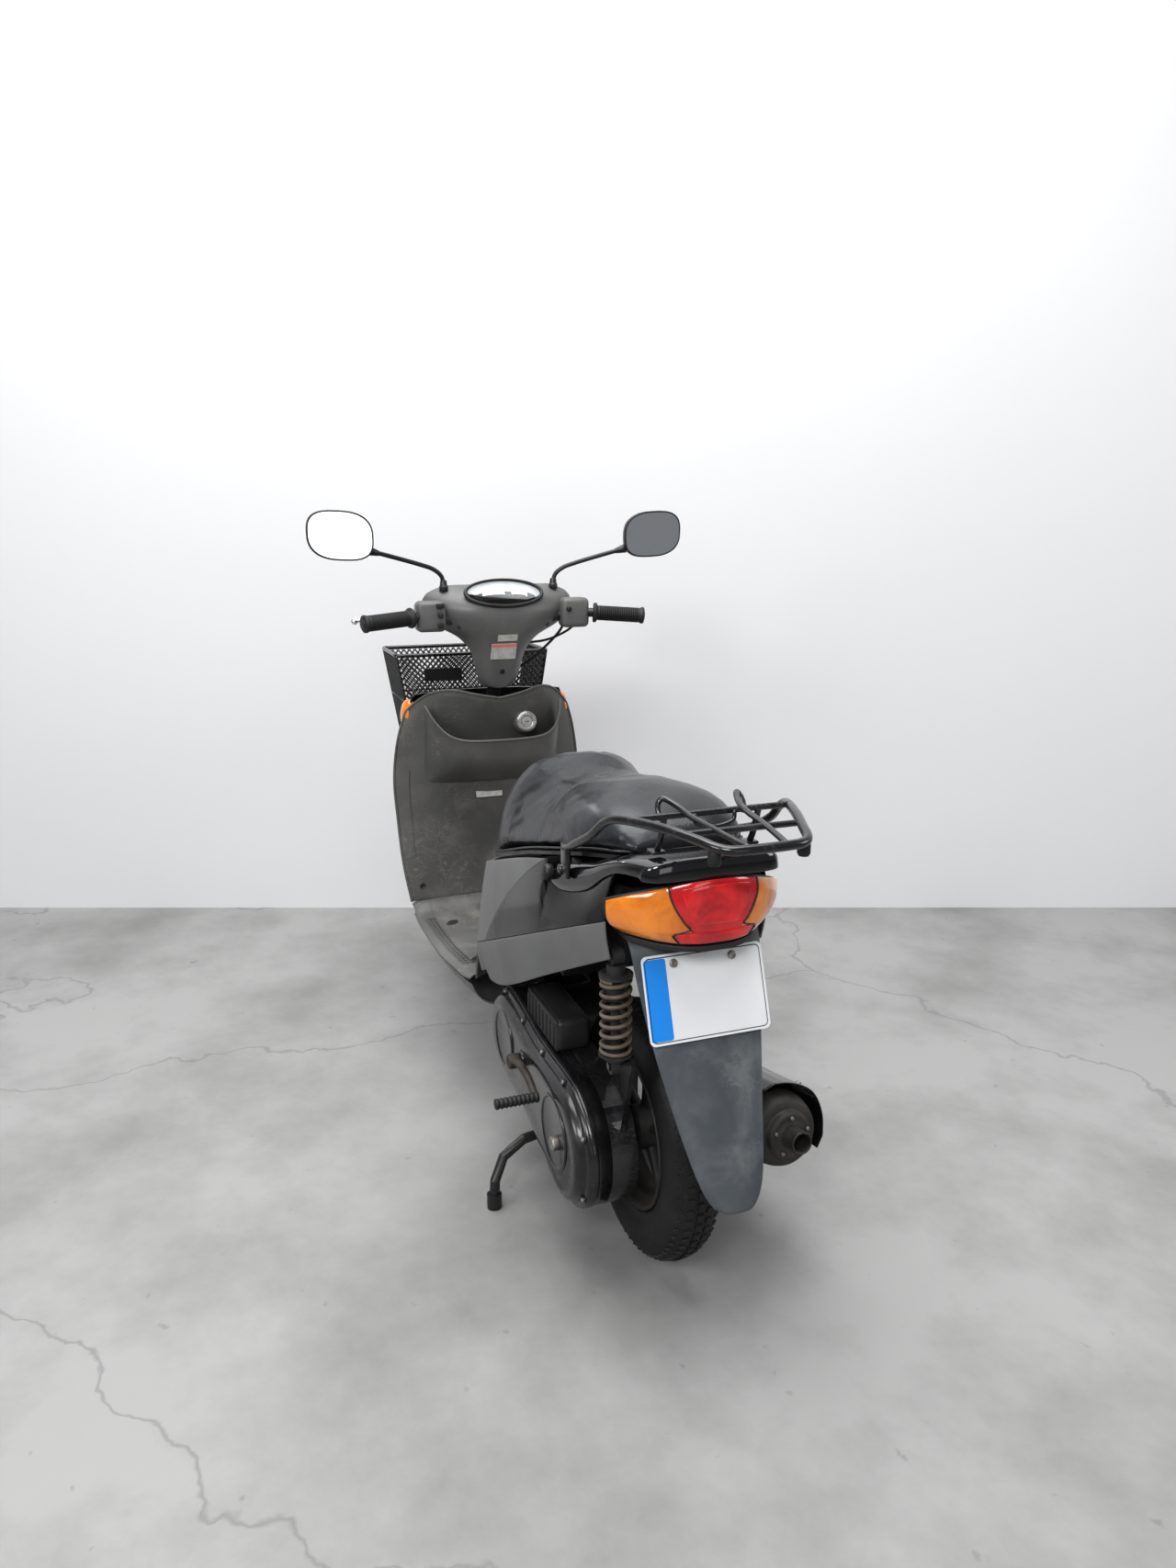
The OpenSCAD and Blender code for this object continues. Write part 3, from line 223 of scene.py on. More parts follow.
def makeFinish(name, base, rough, faded=None, fadeScale=5.0, fadeCover=0.5, dust=None, dustScale=9.0,
               dustCover=0.4, dustSoft=0.25, dustRough=0.85, scuff=None, scuffAmount=0.5, metallic=0.0, coat=0.0,
               coatRough=0.04, grain=700.0, cells=0.5, relief=0.12, glow=0.0, depth=0.0004):
    material = bpy.data.materials.new(name)
    material.use_nodes = True
    tree = material.node_tree
    shader = tree.nodes["Principled BSDF"]
    shader.inputs["Metallic"].default_value = metallic
    shader.inputs["Coat Weight"].default_value = coat
    shader.inputs["Coat Roughness"].default_value = coatRough
    fade = placeGroup(tree, patchGroup, Scale=fadeScale, Cover=fadeCover, Softness=0.18)
    colour = blendColour(tree, fade.outputs["Mask"], base, faded or tuple(1.35 * c + 0.003 for c in base))
    film = placeGroup(tree, patchGroup, Scale=dustScale, Cover=dustCover, Softness=dustSoft)
    if dust:
        colour = blendColour(tree, film.outputs["Mask"], colour, dust)
    if scuff:
        lines = placeGroup(tree, scuffGroup, Scale=26.0, Amount=scuffAmount)
        colour = blendColour(tree, lines.outputs["Mask"], colour, scuff)
    tree.links.new(colour, shader.inputs["Base Color"])
    span = addNode(tree, "ShaderNodeMapRange")
    span.inputs["To Min"].default_value = rough
    span.inputs["To Max"].default_value = dustRough if dust else min(1.0, rough + 0.12)
    tree.links.new(film.outputs["Mask"], span.inputs["Value"])
    tree.links.new(span.outputs["Result"], shader.inputs["Roughness"])
    texture = placeGroup(tree, grainGroup, Scale=grain, Cells=cells)
    bump = addNode(tree, "ShaderNodeBump", Strength=relief, Distance=depth)
    tree.links.new(texture.outputs["Height"], bump.inputs["Height"])
    tree.links.new(bump.outputs["Normal"], shader.inputs["Normal"])
    # Glow makes the colour shine by itself: painted light, used on the dials and the unlit lamp lenses
    if glow:
        tree.links.new(colour, shader.inputs["Emission Color"])
        shader.inputs["Emission Strength"].default_value = glow
    return material


panelGrey = makeFinish("greyShieldPlastic", (0.070, 0.069, 0.066), 0.42, faded=(0.105, 0.103, 0.099),
                       fadeScale=4.0, dust=(0.155, 0.145, 0.130), dustScale=7.0, dustCover=0.36, dustSoft=0.17,
                       dustRough=0.72, scuff=(0.26, 0.25, 0.23), scuffAmount=0.35, relief=0.16)
# A darker, less dusty copy of the shield grey: painted shade inside the pocket; the same colour also serves as the dark
# seam lines
pocketShadeAndSeamGrey = makeFinish("pocketShadeAndSeamPlastic", (0.062, 0.061, 0.058), 0.45, dust=(0.10, 0.095, 0.085),
                       dustScale=11.0, dustCover=0.4, dustSoft=0.14, scuff=(0.2, 0.19, 0.17), scuffAmount=0.4)
floorGrey = makeFinish("greyFloorPlastic", (0.085, 0.085, 0.083), 0.5, faded=(0.135, 0.134, 0.131),
                       dust=(0.19, 0.18, 0.165), dustScale=8.0, dustCover=0.42, dustSoft=0.15, dustRough=0.8,
                       scuff=(0.30, 0.29, 0.27), scuffAmount=0.5, relief=0.2)
coverGrey = makeFinish("greyCoverPlastic", (0.088, 0.088, 0.087), 0.40, faded=(0.112, 0.112, 0.110),
                       dust=(0.16, 0.155, 0.148), dustScale=6.0, dustCover=0.3, dustRough=0.65, relief=0.14)
skirtGrey = makeFinish("greySkirtPlastic", (0.105, 0.106, 0.108), 0.42, faded=(0.145, 0.146, 0.147),
                       dust=(0.19, 0.185, 0.175), dustScale=8.0, dustCover=0.34, dustRough=0.7, relief=0.14)
roughBlack = makeFinish("roughBlackPlastic", (0.012, 0.012, 0.012), 0.45, dust=(0.06, 0.057, 0.052),
                        dustCover=0.3, relief=0.2)
glossBlack = makeFinish("glossBlackShell", (0.0035, 0.0035, 0.0045), 0.09, dust=(0.02, 0.02, 0.02),
                        dustScale=16.0, dustCover=0.22, dustRough=0.28, coat=1.0, coatRough=0.03, relief=0.015,
                        grain=60.0, cells=0.0)
tailBlack = makeFinish("deepTailPlastic", (0.0035, 0.0035, 0.004), 0.14, dust=(0.010, 0.010, 0.010),
                       dustScale=9.0, dustCover=0.35, dustRough=0.4, coat=0.25, coatRough=0.06, relief=0.05)
flapBlue = makeFinish("dustyFlapPlastic", (0.048, 0.056, 0.066), 0.5, faded=(0.068, 0.077, 0.088),
                      fadeScale=7.0, dust=(0.15, 0.16, 0.165), dustScale=9.0, dustCover=0.42, dustSoft=0.16,
                      dustRough=0.85, scuff=(0.22, 0.23, 0.24), scuffAmount=0.35, relief=0.18)
seatVinyl = makeFinish("blackSeatVinyl", (0.010, 0.0105, 0.012), 0.27, faded=(0.018, 0.019, 0.022),
                       dust=(0.05, 0.052, 0.058), dustScale=8.0, dustCover=0.36, dustRough=0.42, grain=420.0,
                       cells=0.8, relief=0.22, depth=0.0006)
framePaint = makeFinish("blackFramePaint", (0.008, 0.008, 0.009), 0.32, dust=(0.07, 0.062, 0.052),
                        dustCover=0.28, relief=0.08, scuff=(0.12, 0.11, 0.10), scuffAmount=0.3)
tubePaint = makeFinish("blackTubePaint", (0.006, 0.006, 0.007), 0.25, dust=(0.05, 0.05, 0.052),
                       dustScale=30.0, dustCover=0.26, dustRough=0.6, coat=0.4, coatRough=0.15, relief=0.05,
                       scuff=(0.16, 0.15, 0.15), scuffAmount=0.3)
gripRubber = makeFinish("blackGripRubber", (0.008, 0.008, 0.008), 0.55, relief=0.25, grain=900.0)
leverAlloy = makeFinish("paleLeverAlloy", (0.60, 0.60, 0.61), 0.26, metallic=1.0, relief=0.05)
boltSteel = makeFinish("dullBoltSteel", (0.30, 0.29, 0.28), 0.38, metallic=0.9, dust=(0.16, 0.13, 0.10),
                       dustScale=60.0, dustCover=0.4, relief=0.1)
keyAlloy = makeFinish("scratchedLockMetal", (0.42, 0.42, 0.41), 0.36, metallic=0.85,
                      dust=(0.12, 0.11, 0.10), dustScale=50.0, dustCover=0.45, scuff=(0.75, 0.74, 0.72), relief=0.12)
keyBlack = makeFinish("blackSwitchPlastic", (0.01, 0.01, 0.01), 0.35, relief=0.1)
hornRed = makeFinish("redHornPlastic", (0.28, 0.015, 0.01), 0.4, relief=0.08)
castDark = makeFinish("darkCastAlloy", (0.030, 0.030, 0.032), 0.5, metallic=0.5,
                      dust=(0.075, 0.066, 0.055), dustScale=14.0, dustCover=0.42, relief=0.3, grain=380.0)
casePaint = makeFinish("darkCasePaint", (0.011, 0.011, 0.013), 0.25, faded=(0.02, 0.02, 0.023),
                       metallic=0.3, coat=0.5, coatRough=0.12, dust=(0.065, 0.06, 0.055), dustScale=10.0,
                       dustCover=0.33, dustRough=0.6, relief=0.12, scuff=(0.2, 0.19, 0.18), scuffAmount=0.35)
forkAlloy = makeFinish("greyForkAlloy", (0.16, 0.16, 0.17), 0.42, metallic=0.8, dust=(0.1, 0.09, 0.08),
                       dustScale=20.0, relief=0.15)
mufflerBlack = makeFinish("heatBlackPaint", (0.010, 0.0095, 0.009), 0.5, dust=(0.055, 0.048, 0.042),
                          dustScale=16.0, dustCover=0.42, relief=0.2)
guardBlack = makeFinish("glossGuardPaint", (0.006, 0.006, 0.007), 0.18, coat=0.7, coatRough=0.08,
                        dust=(0.04, 0.038, 0.035), dustCover=0.3, relief=0.05)
kickSteel = makeFinish("brownedKickSteel", (0.035, 0.031, 0.027), 0.45, metallic=0.5,
                       dust=(0.10, 0.085, 0.07), dustScale=40.0, dustCover=0.45, relief=0.2)
springBrown = makeFinish("brownSpringCoat", (0.085, 0.062, 0.043), 0.5, faded=(0.13, 0.105, 0.08),
                         fadeScale=24.0, dust=(0.17, 0.15, 0.125), dustScale=40.0, dustCover=0.4, relief=0.15)
tyreRubber = makeFinish("blackTyreRubber", (0.008, 0.008, 0.008), 0.5, faded=(0.013, 0.013, 0.013),
                        dust=(0.04, 0.039, 0.036), dustScale=12.0, dustCover=0.24, relief=0.3, grain=500.0)
# The lamps are off, yet the lens colours glow a little: painted light standing in for light passing through the lenses
lampRed = makeFinish("redLampPlastic", (0.36, 0.004, 0.008), 0.12, faded=(0.52, 0.010, 0.014),
                     fadeScale=16.0, coat=1.0, coatRough=0.03, relief=0.03, glow=0.10)
lampDeepRed = makeFinish("deepRedLampPlastic", (0.30, 0.003, 0.006), 0.14, faded=(0.60, 0.012, 0.016),
                         fadeScale=22.0, coat=1.0, relief=0.03, glow=0.15)
lampAmber = makeFinish("amberLampPlastic", (0.52, 0.135, 0.008), 0.14, faded=(0.72, 0.24, 0.02),
                       fadeScale=18.0, coat=1.0, coatRough=0.03, relief=0.03, glow=0.08)
plateWhite = makeFinish("whitePlateEnamel", (0.78, 0.79, 0.80), 0.28, faded=(0.72, 0.73, 0.74),
                        coat=0.4, relief=0.02)
plateBlue = makeFinish("bluePlateEnamel", (0.004, 0.22, 0.68), 0.3, faded=(0.006, 0.25, 0.74),
                       coat=0.4, relief=0.02)
inkBlack = makeFinish("blackPlateLine", (0.012, 0.012, 0.014), 0.4, relief=0.02)
labelPale = makeFinish("paleLabelFilm", (0.50, 0.49, 0.46), 0.45, faded=(0.36, 0.35, 0.33),
                       fadeScale=70.0, scuff=(0.15, 0.14, 0.13), scuffAmount=0.5, relief=0.05)
labelPink = makeFinish("pinkLabelLine", (0.48, 0.15, 0.13), 0.45, relief=0.05)
labelDark = makeFinish("darkLabelFilm", (0.006, 0.006, 0.006), 0.35, relief=0.03)
mirrorShell = makeFinish("blackMirrorShell", (0.009, 0.009, 0.009), 0.32, relief=0.12)
# The dial face and the gauge floor glow: painted light in place of the daylight that does not reach them through the
# lens glass
dialWhitePaintedLit = makeFinish("paleDialFacePaintedLit", (0.62, 0.63, 0.62), 0.4, faded=(0.8, 0.81, 0.8), relief=0.02,
                       glow=1.1)
dialGreyPaintedLit = makeFinish("greyDialPanelPaintedLit", (0.42, 0.43, 0.44), 0.45, relief=0.05, glow=0.6)
pulleySteel = makeFinish("machinedPulleySteel", (0.35, 0.35, 0.36), 0.3, metallic=1.0, relief=0.06)


def makeMirrorGlass():
    material = bpy.data.materials.new("silveredMirrorGlass")
    material.use_nodes = True
    tree = material.node_tree
    shader = tree.nodes["Principled BSDF"]
    shader.inputs["Metallic"].default_value = 1.0
    haze = placeGroup(tree, patchGroup, Scale=20.0, Cover=0.3, Softness=0.3)
    colour = blendColour(tree, haze.outputs["Mask"], (0.90, 0.91, 0.92), (0.84, 0.85, 0.86))
    span = addNode(tree, "ShaderNodeMapRange")
    span.inputs["To Min"].default_value = 0.02
    span.inputs["To Max"].default_value = 0.08
    tree.links.new(haze.outputs["Mask"], span.inputs["Value"])
    tree.links.new(colour, shader.inputs["Base Color"])
    tree.links.new(span.outputs["Result"], shader.inputs["Roughness"])
    return material


def makeClearLens():
    material = bpy.data.materials.new("clearLensPlastic")
    material.use_nodes = True
    shader = material.node_tree.nodes["Principled BSDF"]
    shader.inputs["Base Color"].default_value = (0.95, 0.96, 0.97, 1)
    shader.inputs["Roughness"].default_value = 0.03
    shader.inputs["Transmission Weight"].default_value = 1.0
    shader.inputs["IOR"].default_value = 1.15
    return material


mirrorGlass, clearLens = makeMirrorGlass(), makeClearLens()
for finish, level in ((tailBlack, 0.18), (glossBlack, 0.4), (guardBlack, 0.25), (casePaint, 0.4), (tyreRubber, 0.3)):
    finish.node_tree.nodes["Principled BSDF"].inputs["Specular IOR Level"].default_value = level
print("finishes made")


# Mesh helpers
def mm(x, y, z):
    return Vector((x, y, z)) * 0.001


def curveThrough(*stations):
    keys = sorted(stations)

    def slope(k):
        a, b = keys[max(k - 1, 0)], keys[min(k + 1, len(keys) - 1)]
        return (b[1] - a[1]) / (b[0] - a[0])

    def value(x):
        if x <= keys[0][0]:
            return keys[0][1]
        if x >= keys[-1][0]:
            return keys[-1][1]
        i = max(k for k in range(len(keys) - 1) if keys[k][0] <= x)
        (x0, y0), (x1, y1) = keys[i], keys[i + 1]
        h, t = x1 - x0, (x - x0) / (x1 - x0)
        return ((2 * t ** 3 - 3 * t ** 2 + 1) * y0 + (t ** 3 - 2 * t ** 2 + t) * h * slope(i)
                + (3 * t ** 2 - 2 * t ** 3) * y1 + (t ** 3 - t ** 2) * h * slope(i + 1))
    return value


def ringFaces(rows, n, capped=True):
    # Quads between rows of n points each, with a cap at both ends
    faces = [(j * n + i, j * n + (i + 1) % n, (j + 1) * n + (i + 1) % n, (j + 1) * n + i)
             for j in range(rows - 1) for i in range(n)]
    if capped:
        faces += [tuple(range(n)), tuple(reversed(range((rows - 1) * n, rows * n)))]
    return faces


def newPiece(name, verts, faces, body, finish, smooth=True):
    mesh = bpy.data.meshes.new(name)
    mesh.from_pydata([tuple(v) for v in verts], [], faces)
    mesh.update()
    obj = bpy.data.objects.new(name, mesh)
    scene.collection.objects.link(obj)
    return settle(obj, body, finish, smooth)


def settle(obj, body, finish, smooth=True):
    obj.data.materials.clear()
    obj.data.materials.append(finish)
    obj.data.polygons.foreach_set("use_smooth", [smooth] * len(obj.data.polygons))
    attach(obj, body)
    return obj


def outward(obj):
    bm = bmesh.new()
    bm.from_mesh(obj.data)
    bmesh.ops.remove_doubles(bm, verts=bm.verts, dist=1e-6)
    bmesh.ops.recalc_face_normals(bm, faces=bm.faces)
    bm.to_mesh(obj.data)
    bm.free()
    return obj


def roundEdges(obj, width, segments=2, angle=35):
    bevel = obj.modifiers.new("roundEdges", "BEVEL")
    bevel.width = width
    bevel.segments = segments
    bevel.limit_method = "ANGLE"
    bevel.angle_limit = math.radians(angle)
    bevel.harden_normals = False
    return obj


def panel(name, point, body, finish, columns=40, rows=28, thick=0.0035, facing=(0, 0, 1), edge=0.0012,
          uSpan=(-1, 1)):
    us = [uSpan[0] + (uSpan[1] - uSpan[0]) * i / columns for i in range(columns + 1)]
    vs = [j / rows for j in range(rows + 1)]
    grid = [[point(u, v) for u in us] for v in vs]
    verts = [p for row in grid for p in row]
    n = columns + 1
    faces = [(j * n + i, j * n + i + 1, (j + 1) * n + i + 1, (j + 1) * n + i) for j in range(rows)
             for i in range(columns)]
    middle = faces[len(faces) // 2 + columns // 2]
    a, b, c = verts[middle[0]], verts[middle[1]], verts[middle[3]]
    if (b - a).cross(c - a).dot(Vector(facing)) < 0:
        faces = [tuple(reversed(f)) for f in faces]
    obj = newPiece(name, verts, faces, body, finish)
    solid = obj.modifiers.new("wall", "SOLIDIFY")
    solid.thickness = thick
    solid.offset = -1
    return roundEdges(obj, edge)


def resample(points, count):
    pts = [Vector(p) for p in points]
    ext = [2 * pts[0] - pts[1]] + pts + [2 * pts[-1] - pts[-2]]
    dense = []
    for i in range(1, len(ext) - 2):
        p0, p1, p2, p3 = ext[i - 1:i + 3]
        for k in range(16):
            t = k / 16
            dense.append(0.5 * ((2 * p1) + (p2 - p0) * t + (2 * p0 - 5 * p1 + 4 * p2 - p3) * t * t
                                + (3 * p1 - p0 - 3 * p2 + p3) * t ** 3))
    dense.append(pts[-1])
    reach = [0.0]
    for a, b in zip(dense, dense[1:]):
        reach.append(reach[-1] + (b - a).length)
    out, j = [], 0
    for i in range(count):
        want = reach[-1] * i / (count - 1)
        while j < len(reach) - 2 and reach[j + 1] < want:
            j += 1
        span = reach[j + 1] - reach[j] or 1
        out.append(dense[j].lerp(dense[j + 1], (want - reach[j]) / span))
    return out


def tube(name, points, radius, body, finish, count=None, sides=16, bend=True, swell=None, flat=1.0):
    length = sum((Vector(b) - Vector(a)).length for a, b in zip(points, points[1:]))
    count = count or max(6, int(length / 0.006))
    path = resample(points, count) if bend else [Vector(p) for p in points]
    count = len(path)
    forward = (path[1] - path[0]).normalized()
    side = forward.orthogonal().normalized() if abs(forward.z) > 0.98 else forward.cross(Vector((0, 0, 1))).normalized()
    rings = []
    for i, p in enumerate(path):
        ahead = (path[min(i + 1, count - 1)] - path[max(i - 1, 0)]).normalized()
        side = (side - ahead * side.dot(ahead)).normalized()
        over = ahead.cross(side)
        r = radius * (swell(i / (count - 1)) if swell else 1)
        rings.append((p, ahead, side, over, r))
    verts, cols = [], sides

    def ring(p, side, over, r, push=Vector((0, 0, 0))):
        for k in range(sides):
            a = 2 * math.pi * k / sides
            verts.append(p + push + r * (math.cos(a) * side + flat * math.sin(a) * over))

    p, ahead, side0, over, r = rings[0]
    ring(p, side0, over, r * 0.6, -ahead * r * 0.28)
    ring(p, side0, over, r * 0.9, -ahead * r * 0.12)
    for p, ahead, side1, over, r in rings:
        ring(p, side1, over, r)
    ring(p, side1, over, r * 0.9, ahead * r * 0.12)
    ring(p, side1, over, r * 0.6, ahead * r * 0.28)
    total = len(verts) // sides
    faces = ringFaces(total, cols)
    return outward(newPiece(name, verts, faces, body, finish))


def turned(name, profile, centre, axis, body, finish, segments=64, squash=1.0):
    # profile: (along, radius) pairs; the first and last may have radius 0
    axis = Vector(axis).normalized()
    side = axis.orthogonal().normalized() if abs(axis.z) > 0.9 else axis.cross(Vector((0, 0, 1))).normalized()
    over = axis.cross(side)
    verts, n = [], segments
    for along, r in profile:
        reach = max(r, 1e-6)
        for k in range(n):
            a = 2 * math.pi * k / n
            verts.append(Vector(centre) + axis * along + reach * (math.cos(a) * side + squash * math.sin(a) * over))
    faces = ringFaces(len(profile), n, profile[0] != profile[-1])
    obj = newPiece(name, verts, faces, body, finish)
    bm = bmesh.new()
    bm.from_mesh(obj.data)
    bmesh.ops.remove_doubles(bm, verts=bm.verts, dist=5e-6)
    bmesh.ops.recalc_face_normals(bm, faces=bm.faces)
    bm.to_mesh(obj.data)
    bm.free()
    return roundEdges(obj, 0.0008, 2, 30)


def block(name, low, high, radius, body, finish, turn=None, about=None, segments=3):
    bm = bmesh.new()
    bmesh.ops.create_cube(bm, size=1)
    low, high = Vector(low), Vector(high)
    for v in bm.verts:
        v.co = Vector([low[i] + (v.co[i] + 0.5) * (high[i] - low[i]) for i in range(3)])
    bmesh.ops.bevel(bm, geom=list(bm.edges), offset=radius, segments=segments, profile=0.5, affect="EDGES")
    if turn:
        bmesh.ops.rotate(bm, cent=Vector(about), matrix=turn, verts=bm.verts)
    bmesh.ops.recalc_face_normals(bm, faces=bm.faces)
    mesh = bpy.data.meshes.new(name)
    bm.to_mesh(mesh)
    bm.free()
    obj = bpy.data.objects.new(name, mesh)
    scene.collection.objects.link(obj)
    return settle(obj, body, finish)


def joined(name, parts):
    # One object from pieces of the same body and finish
    bpy.context.view_layer.update()
    graph = bpy.context.evaluated_depsgraph_get()
    bm = bmesh.new()
    for part in parts:
        mesh = bpy.data.meshes.new_from_object(part.evaluated_get(graph), depsgraph=graph)
        bm.from_mesh(mesh)
    mesh = bpy.data.meshes.new(name)
    bm.to_mesh(mesh)
    bm.free()
    first = parts[0]
    body, finish = first["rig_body"], first.data.materials[0]
    obj = bpy.data.objects.new(name, mesh)
    scene.collection.objects.link(obj)
    for part in parts:
        bpy.data.objects.remove(part)
    return settle(obj, body, finish)


def bothSides(make):
    return [make(1), make(-1)]


# Studs, rings or ribs along a path, as Geometry Nodes
def makeRepeatTree():
    tree = bpy.data.node_groups.new("repeatAlongPath", "GeometryNodeTree")
    add = tree.interface.new_socket
    add(name="Path", in_out="INPUT", socket_type="NodeSocketGeometry")
    add(name="Count", in_out="INPUT", socket_type="NodeSocketInt")
    add(name="Sides", in_out="INPUT", socket_type="NodeSocketInt")
    add(name="Radius", in_out="INPUT", socket_type="NodeSocketFloat")
    add(name="Depth", in_out="INPUT", socket_type="NodeSocketFloat")
    add(name="Stretch", in_out="INPUT", socket_type="NodeSocketVector")
    add(name="Turn", in_out="INPUT", socket_type="NodeSocketVector")
    add(name="Follow", in_out="INPUT", socket_type="NodeSocketBool")
    add(name="Finish", in_out="INPUT", socket_type="NodeSocketMaterial")
    add(name="Pieces", in_out="OUTPUT", socket_type="NodeSocketGeometry")
    given, made = tree.nodes.new("NodeGroupInput"), tree.nodes.new("NodeGroupOutput")
    toCurve = tree.nodes.new("GeometryNodeMeshToCurve")
    toPoints = tree.nodes.new("GeometryNodeCurveToPoints")
    toPoints.mode = "COUNT"
    stud = tree.nodes.new("GeometryNodeMeshCylinder")
    place = tree.nodes.new("GeometryNodeInstanceOnPoints")
    turn = tree.nodes.new("FunctionNodeEulerToRotation")
    pick = tree.nodes.new("GeometryNodeSwitch")
    pick.input_type = "ROTATION"
    real = tree.nodes.new("GeometryNodeRealizeInstances")
    paint = tree.nodes.new("GeometryNodeSetMaterial")
    link = tree.links.new
    link(given.outputs["Path"], toCurve.inputs[0])
    link(toCurve.outputs[0], toPoints.inputs["Curve"])
    link(given.outputs["Count"], toPoints.inputs["Count"])
    link(given.outputs["Sides"], stud.inputs["Vertices"])
    link(given.outputs["Radius"], stud.inputs["Radius"])
    link(given.outputs["Depth"], stud.inputs["Depth"])
    link(toPoints.outputs["Points"], place.inputs["Points"])
    link(stud.outputs["Mesh"], place.inputs["Instance"])
    link(given.outputs["Turn"], turn.inputs[0])
    link(given.outputs["Follow"], pick.inputs["Switch"])
    link(turn.outputs[0], pick.inputs["False"])
    link(toPoints.outputs["Rotation"], pick.inputs["True"])
    link(pick.outputs[0], place.inputs["Rotation"])
    link(given.outputs["Stretch"], place.inputs["Scale"])
    link(place.outputs[0], real.inputs[0])
    link(real.outputs[0], paint.inputs["Geometry"])
    link(given.outputs["Finish"], paint.inputs["Material"])
    link(paint.outputs[0], made.inputs[0])
    return tree


repeatTree = makeRepeatTree()


def repeatAlong(name, points, body, finish, count, sides=6, radius=0.004, depth=0.004, stretch=(1, 1, 1),
                turn=(0, 0, 0), follow=False, edge=0.0005):
    mesh = bpy.data.meshes.new(name + "Path")
    mesh.from_pydata([tuple(p) for p in points], [(i, i + 1) for i in range(len(points) - 1)], [])
    path = bpy.data.objects.new(name + "Path", mesh)
    scene.collection.objects.link(path)
    modifier = path.modifiers.new("repeat", "NODES")
    modifier.node_group = repeatTree
    values = {"Count": count, "Sides": sides, "Radius": radius, "Depth": depth, "Stretch": stretch, "Turn": turn,
              "Follow": follow, "Finish": finish}
    for item in repeatTree.interface.items_tree:
        if item.item_type == "SOCKET" and item.in_out == "INPUT" and item.name in values:
            modifier[item.identifier] = values[item.name]
    bpy.context.view_layer.update()
    graph = bpy.context.evaluated_depsgraph_get()
    made = bpy.data.meshes.new_from_object(path.evaluated_get(graph), depsgraph=graph)
    bpy.data.objects.remove(path)
    obj = bpy.data.objects.new(name, made)
    scene.collection.objects.link(obj)
    settle(obj, body, finish, smooth=False)
    return roundEdges(obj, edge, 2, 40) if edge else obj


def carryOver(finish, *names):
    for n in names:
        nodes[n].data.materials.clear()
        nodes[n].data.materials.append(finish)


def label(name, centre, across, up, width, height, body, finish, lift=0.0006, corner=0.0015):
    # A thin blank patch that stands just proud of the surface it is on
    across, up = Vector(across).normalized(), Vector(up).normalized()
    out = across.cross(up)
    ring = []
    for sx, sy, a0 in ((1, 1, 0), (-1, 1, 90), (-1, -1, 180), (1, -1, 270)):
        for k in range(5):
            a = math.radians(a0 + 22.5 * k)
            ring.append(Vector(centre) + across * (sx * (width / 2 - corner) + corner * math.cos(a))
                        + up * (sy * (height / 2 - corner) + corner * math.sin(a)))
    n = len(ring)
    verts = ring + [p + out * lift for p in ring]
    faces = [tuple(reversed(range(n))), tuple(range(n, 2 * n))]
    faces += [(i, (i + 1) % n, n + (i + 1) % n, n + i) for i in range(n)]
    return outward(newPiece(name, verts, faces, body, finish, smooth=False))


# Leg shield
shieldSizes = {"low": 318, "half": 233, "wall": 0.004, "pocketLow": 588, "pocketDepth": 62,
               "pocketLip": 700, "lipRise": 70, "lip": 0.0032, "bead": 0.0028}
shieldWide = curveThrough((300, 0.86), (400, 0.92), (500, 0.94), (600, 0.95), (700, 0.89), (780, 0.77), (830, 0.66))
shieldMiddle = curveThrough((300, 372), (360, 384), (450, 388), (550, 375), (650, 352), (750, 322), (830, 300))
shieldEdge = curveThrough((300, 362), (400, 390), (500, 416), (600, 428), (700, 424), (830, 404))


shieldCrest = curveThrough((0, 789), (30, 798), (55, 806), (72, 804), (86, 792), (95, 772), (100, 752))


def shieldTop(s):
    return shieldCrest(abs(s) * 100)


def shieldAt(s, z):
    x = shieldMiddle(z) + (shieldEdge(z) - shieldMiddle(z)) * abs(s) ** 2.2
    return mm(x, shieldSizes["half"] * shieldWide(z) * s, z)


def shieldPoint(s, v):
    return shieldAt(s, shieldSizes["low"] + v * (shieldTop(s) - shieldSizes["low"]))


def pocketLip(s):
    return shieldSizes["pocketLip"] + shieldSizes["lipRise"] * abs(s) ** 6


def pocketPoint(s, v):
    low = shieldSizes["pocketLow"]
    z = low + v * (pocketLip(s) - low)
    out = shieldSizes["pocketDepth"] * math.sin(min(1, v * 1.5) * math.pi / 2) ** 0.9 * (1 - abs(s) ** 8)
    wide = shieldSizes["half"] * shieldWide(700) * 0.76
    return mm(shieldAt(s * 0.72, z).x * 1000 - out + 1.0, wide * s, z)


legShieldPanel = panel("legShieldPanel", shieldPoint, "frame", panelGrey, 64, 56, shieldSizes["wall"], (-1, 0, 0))
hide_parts("leg_shield")
panel("legShieldPocket", pocketPoint, "frame", panelGrey, 56, 24, shieldSizes["lip"], (-1, 0, 0))
tube("pocketLipBead", [pocketPoint(-1 + k / 20, 1) for k in range(41)], shieldSizes["bead"], "frame", panelGrey, 80, 10)
edgeLine = [shieldPoint(-1, v / 24) for v in range(25)] + [shieldPoint(-1 + k / 16, 1) for k in range(1, 33)]
edgeLine += [shieldPoint(1, 1 - v / 24) for v in range(1, 25)]
tube("shieldEdgeBead", edgeLine, shieldSizes["bead"], "frame", panelGrey, 150, 10)
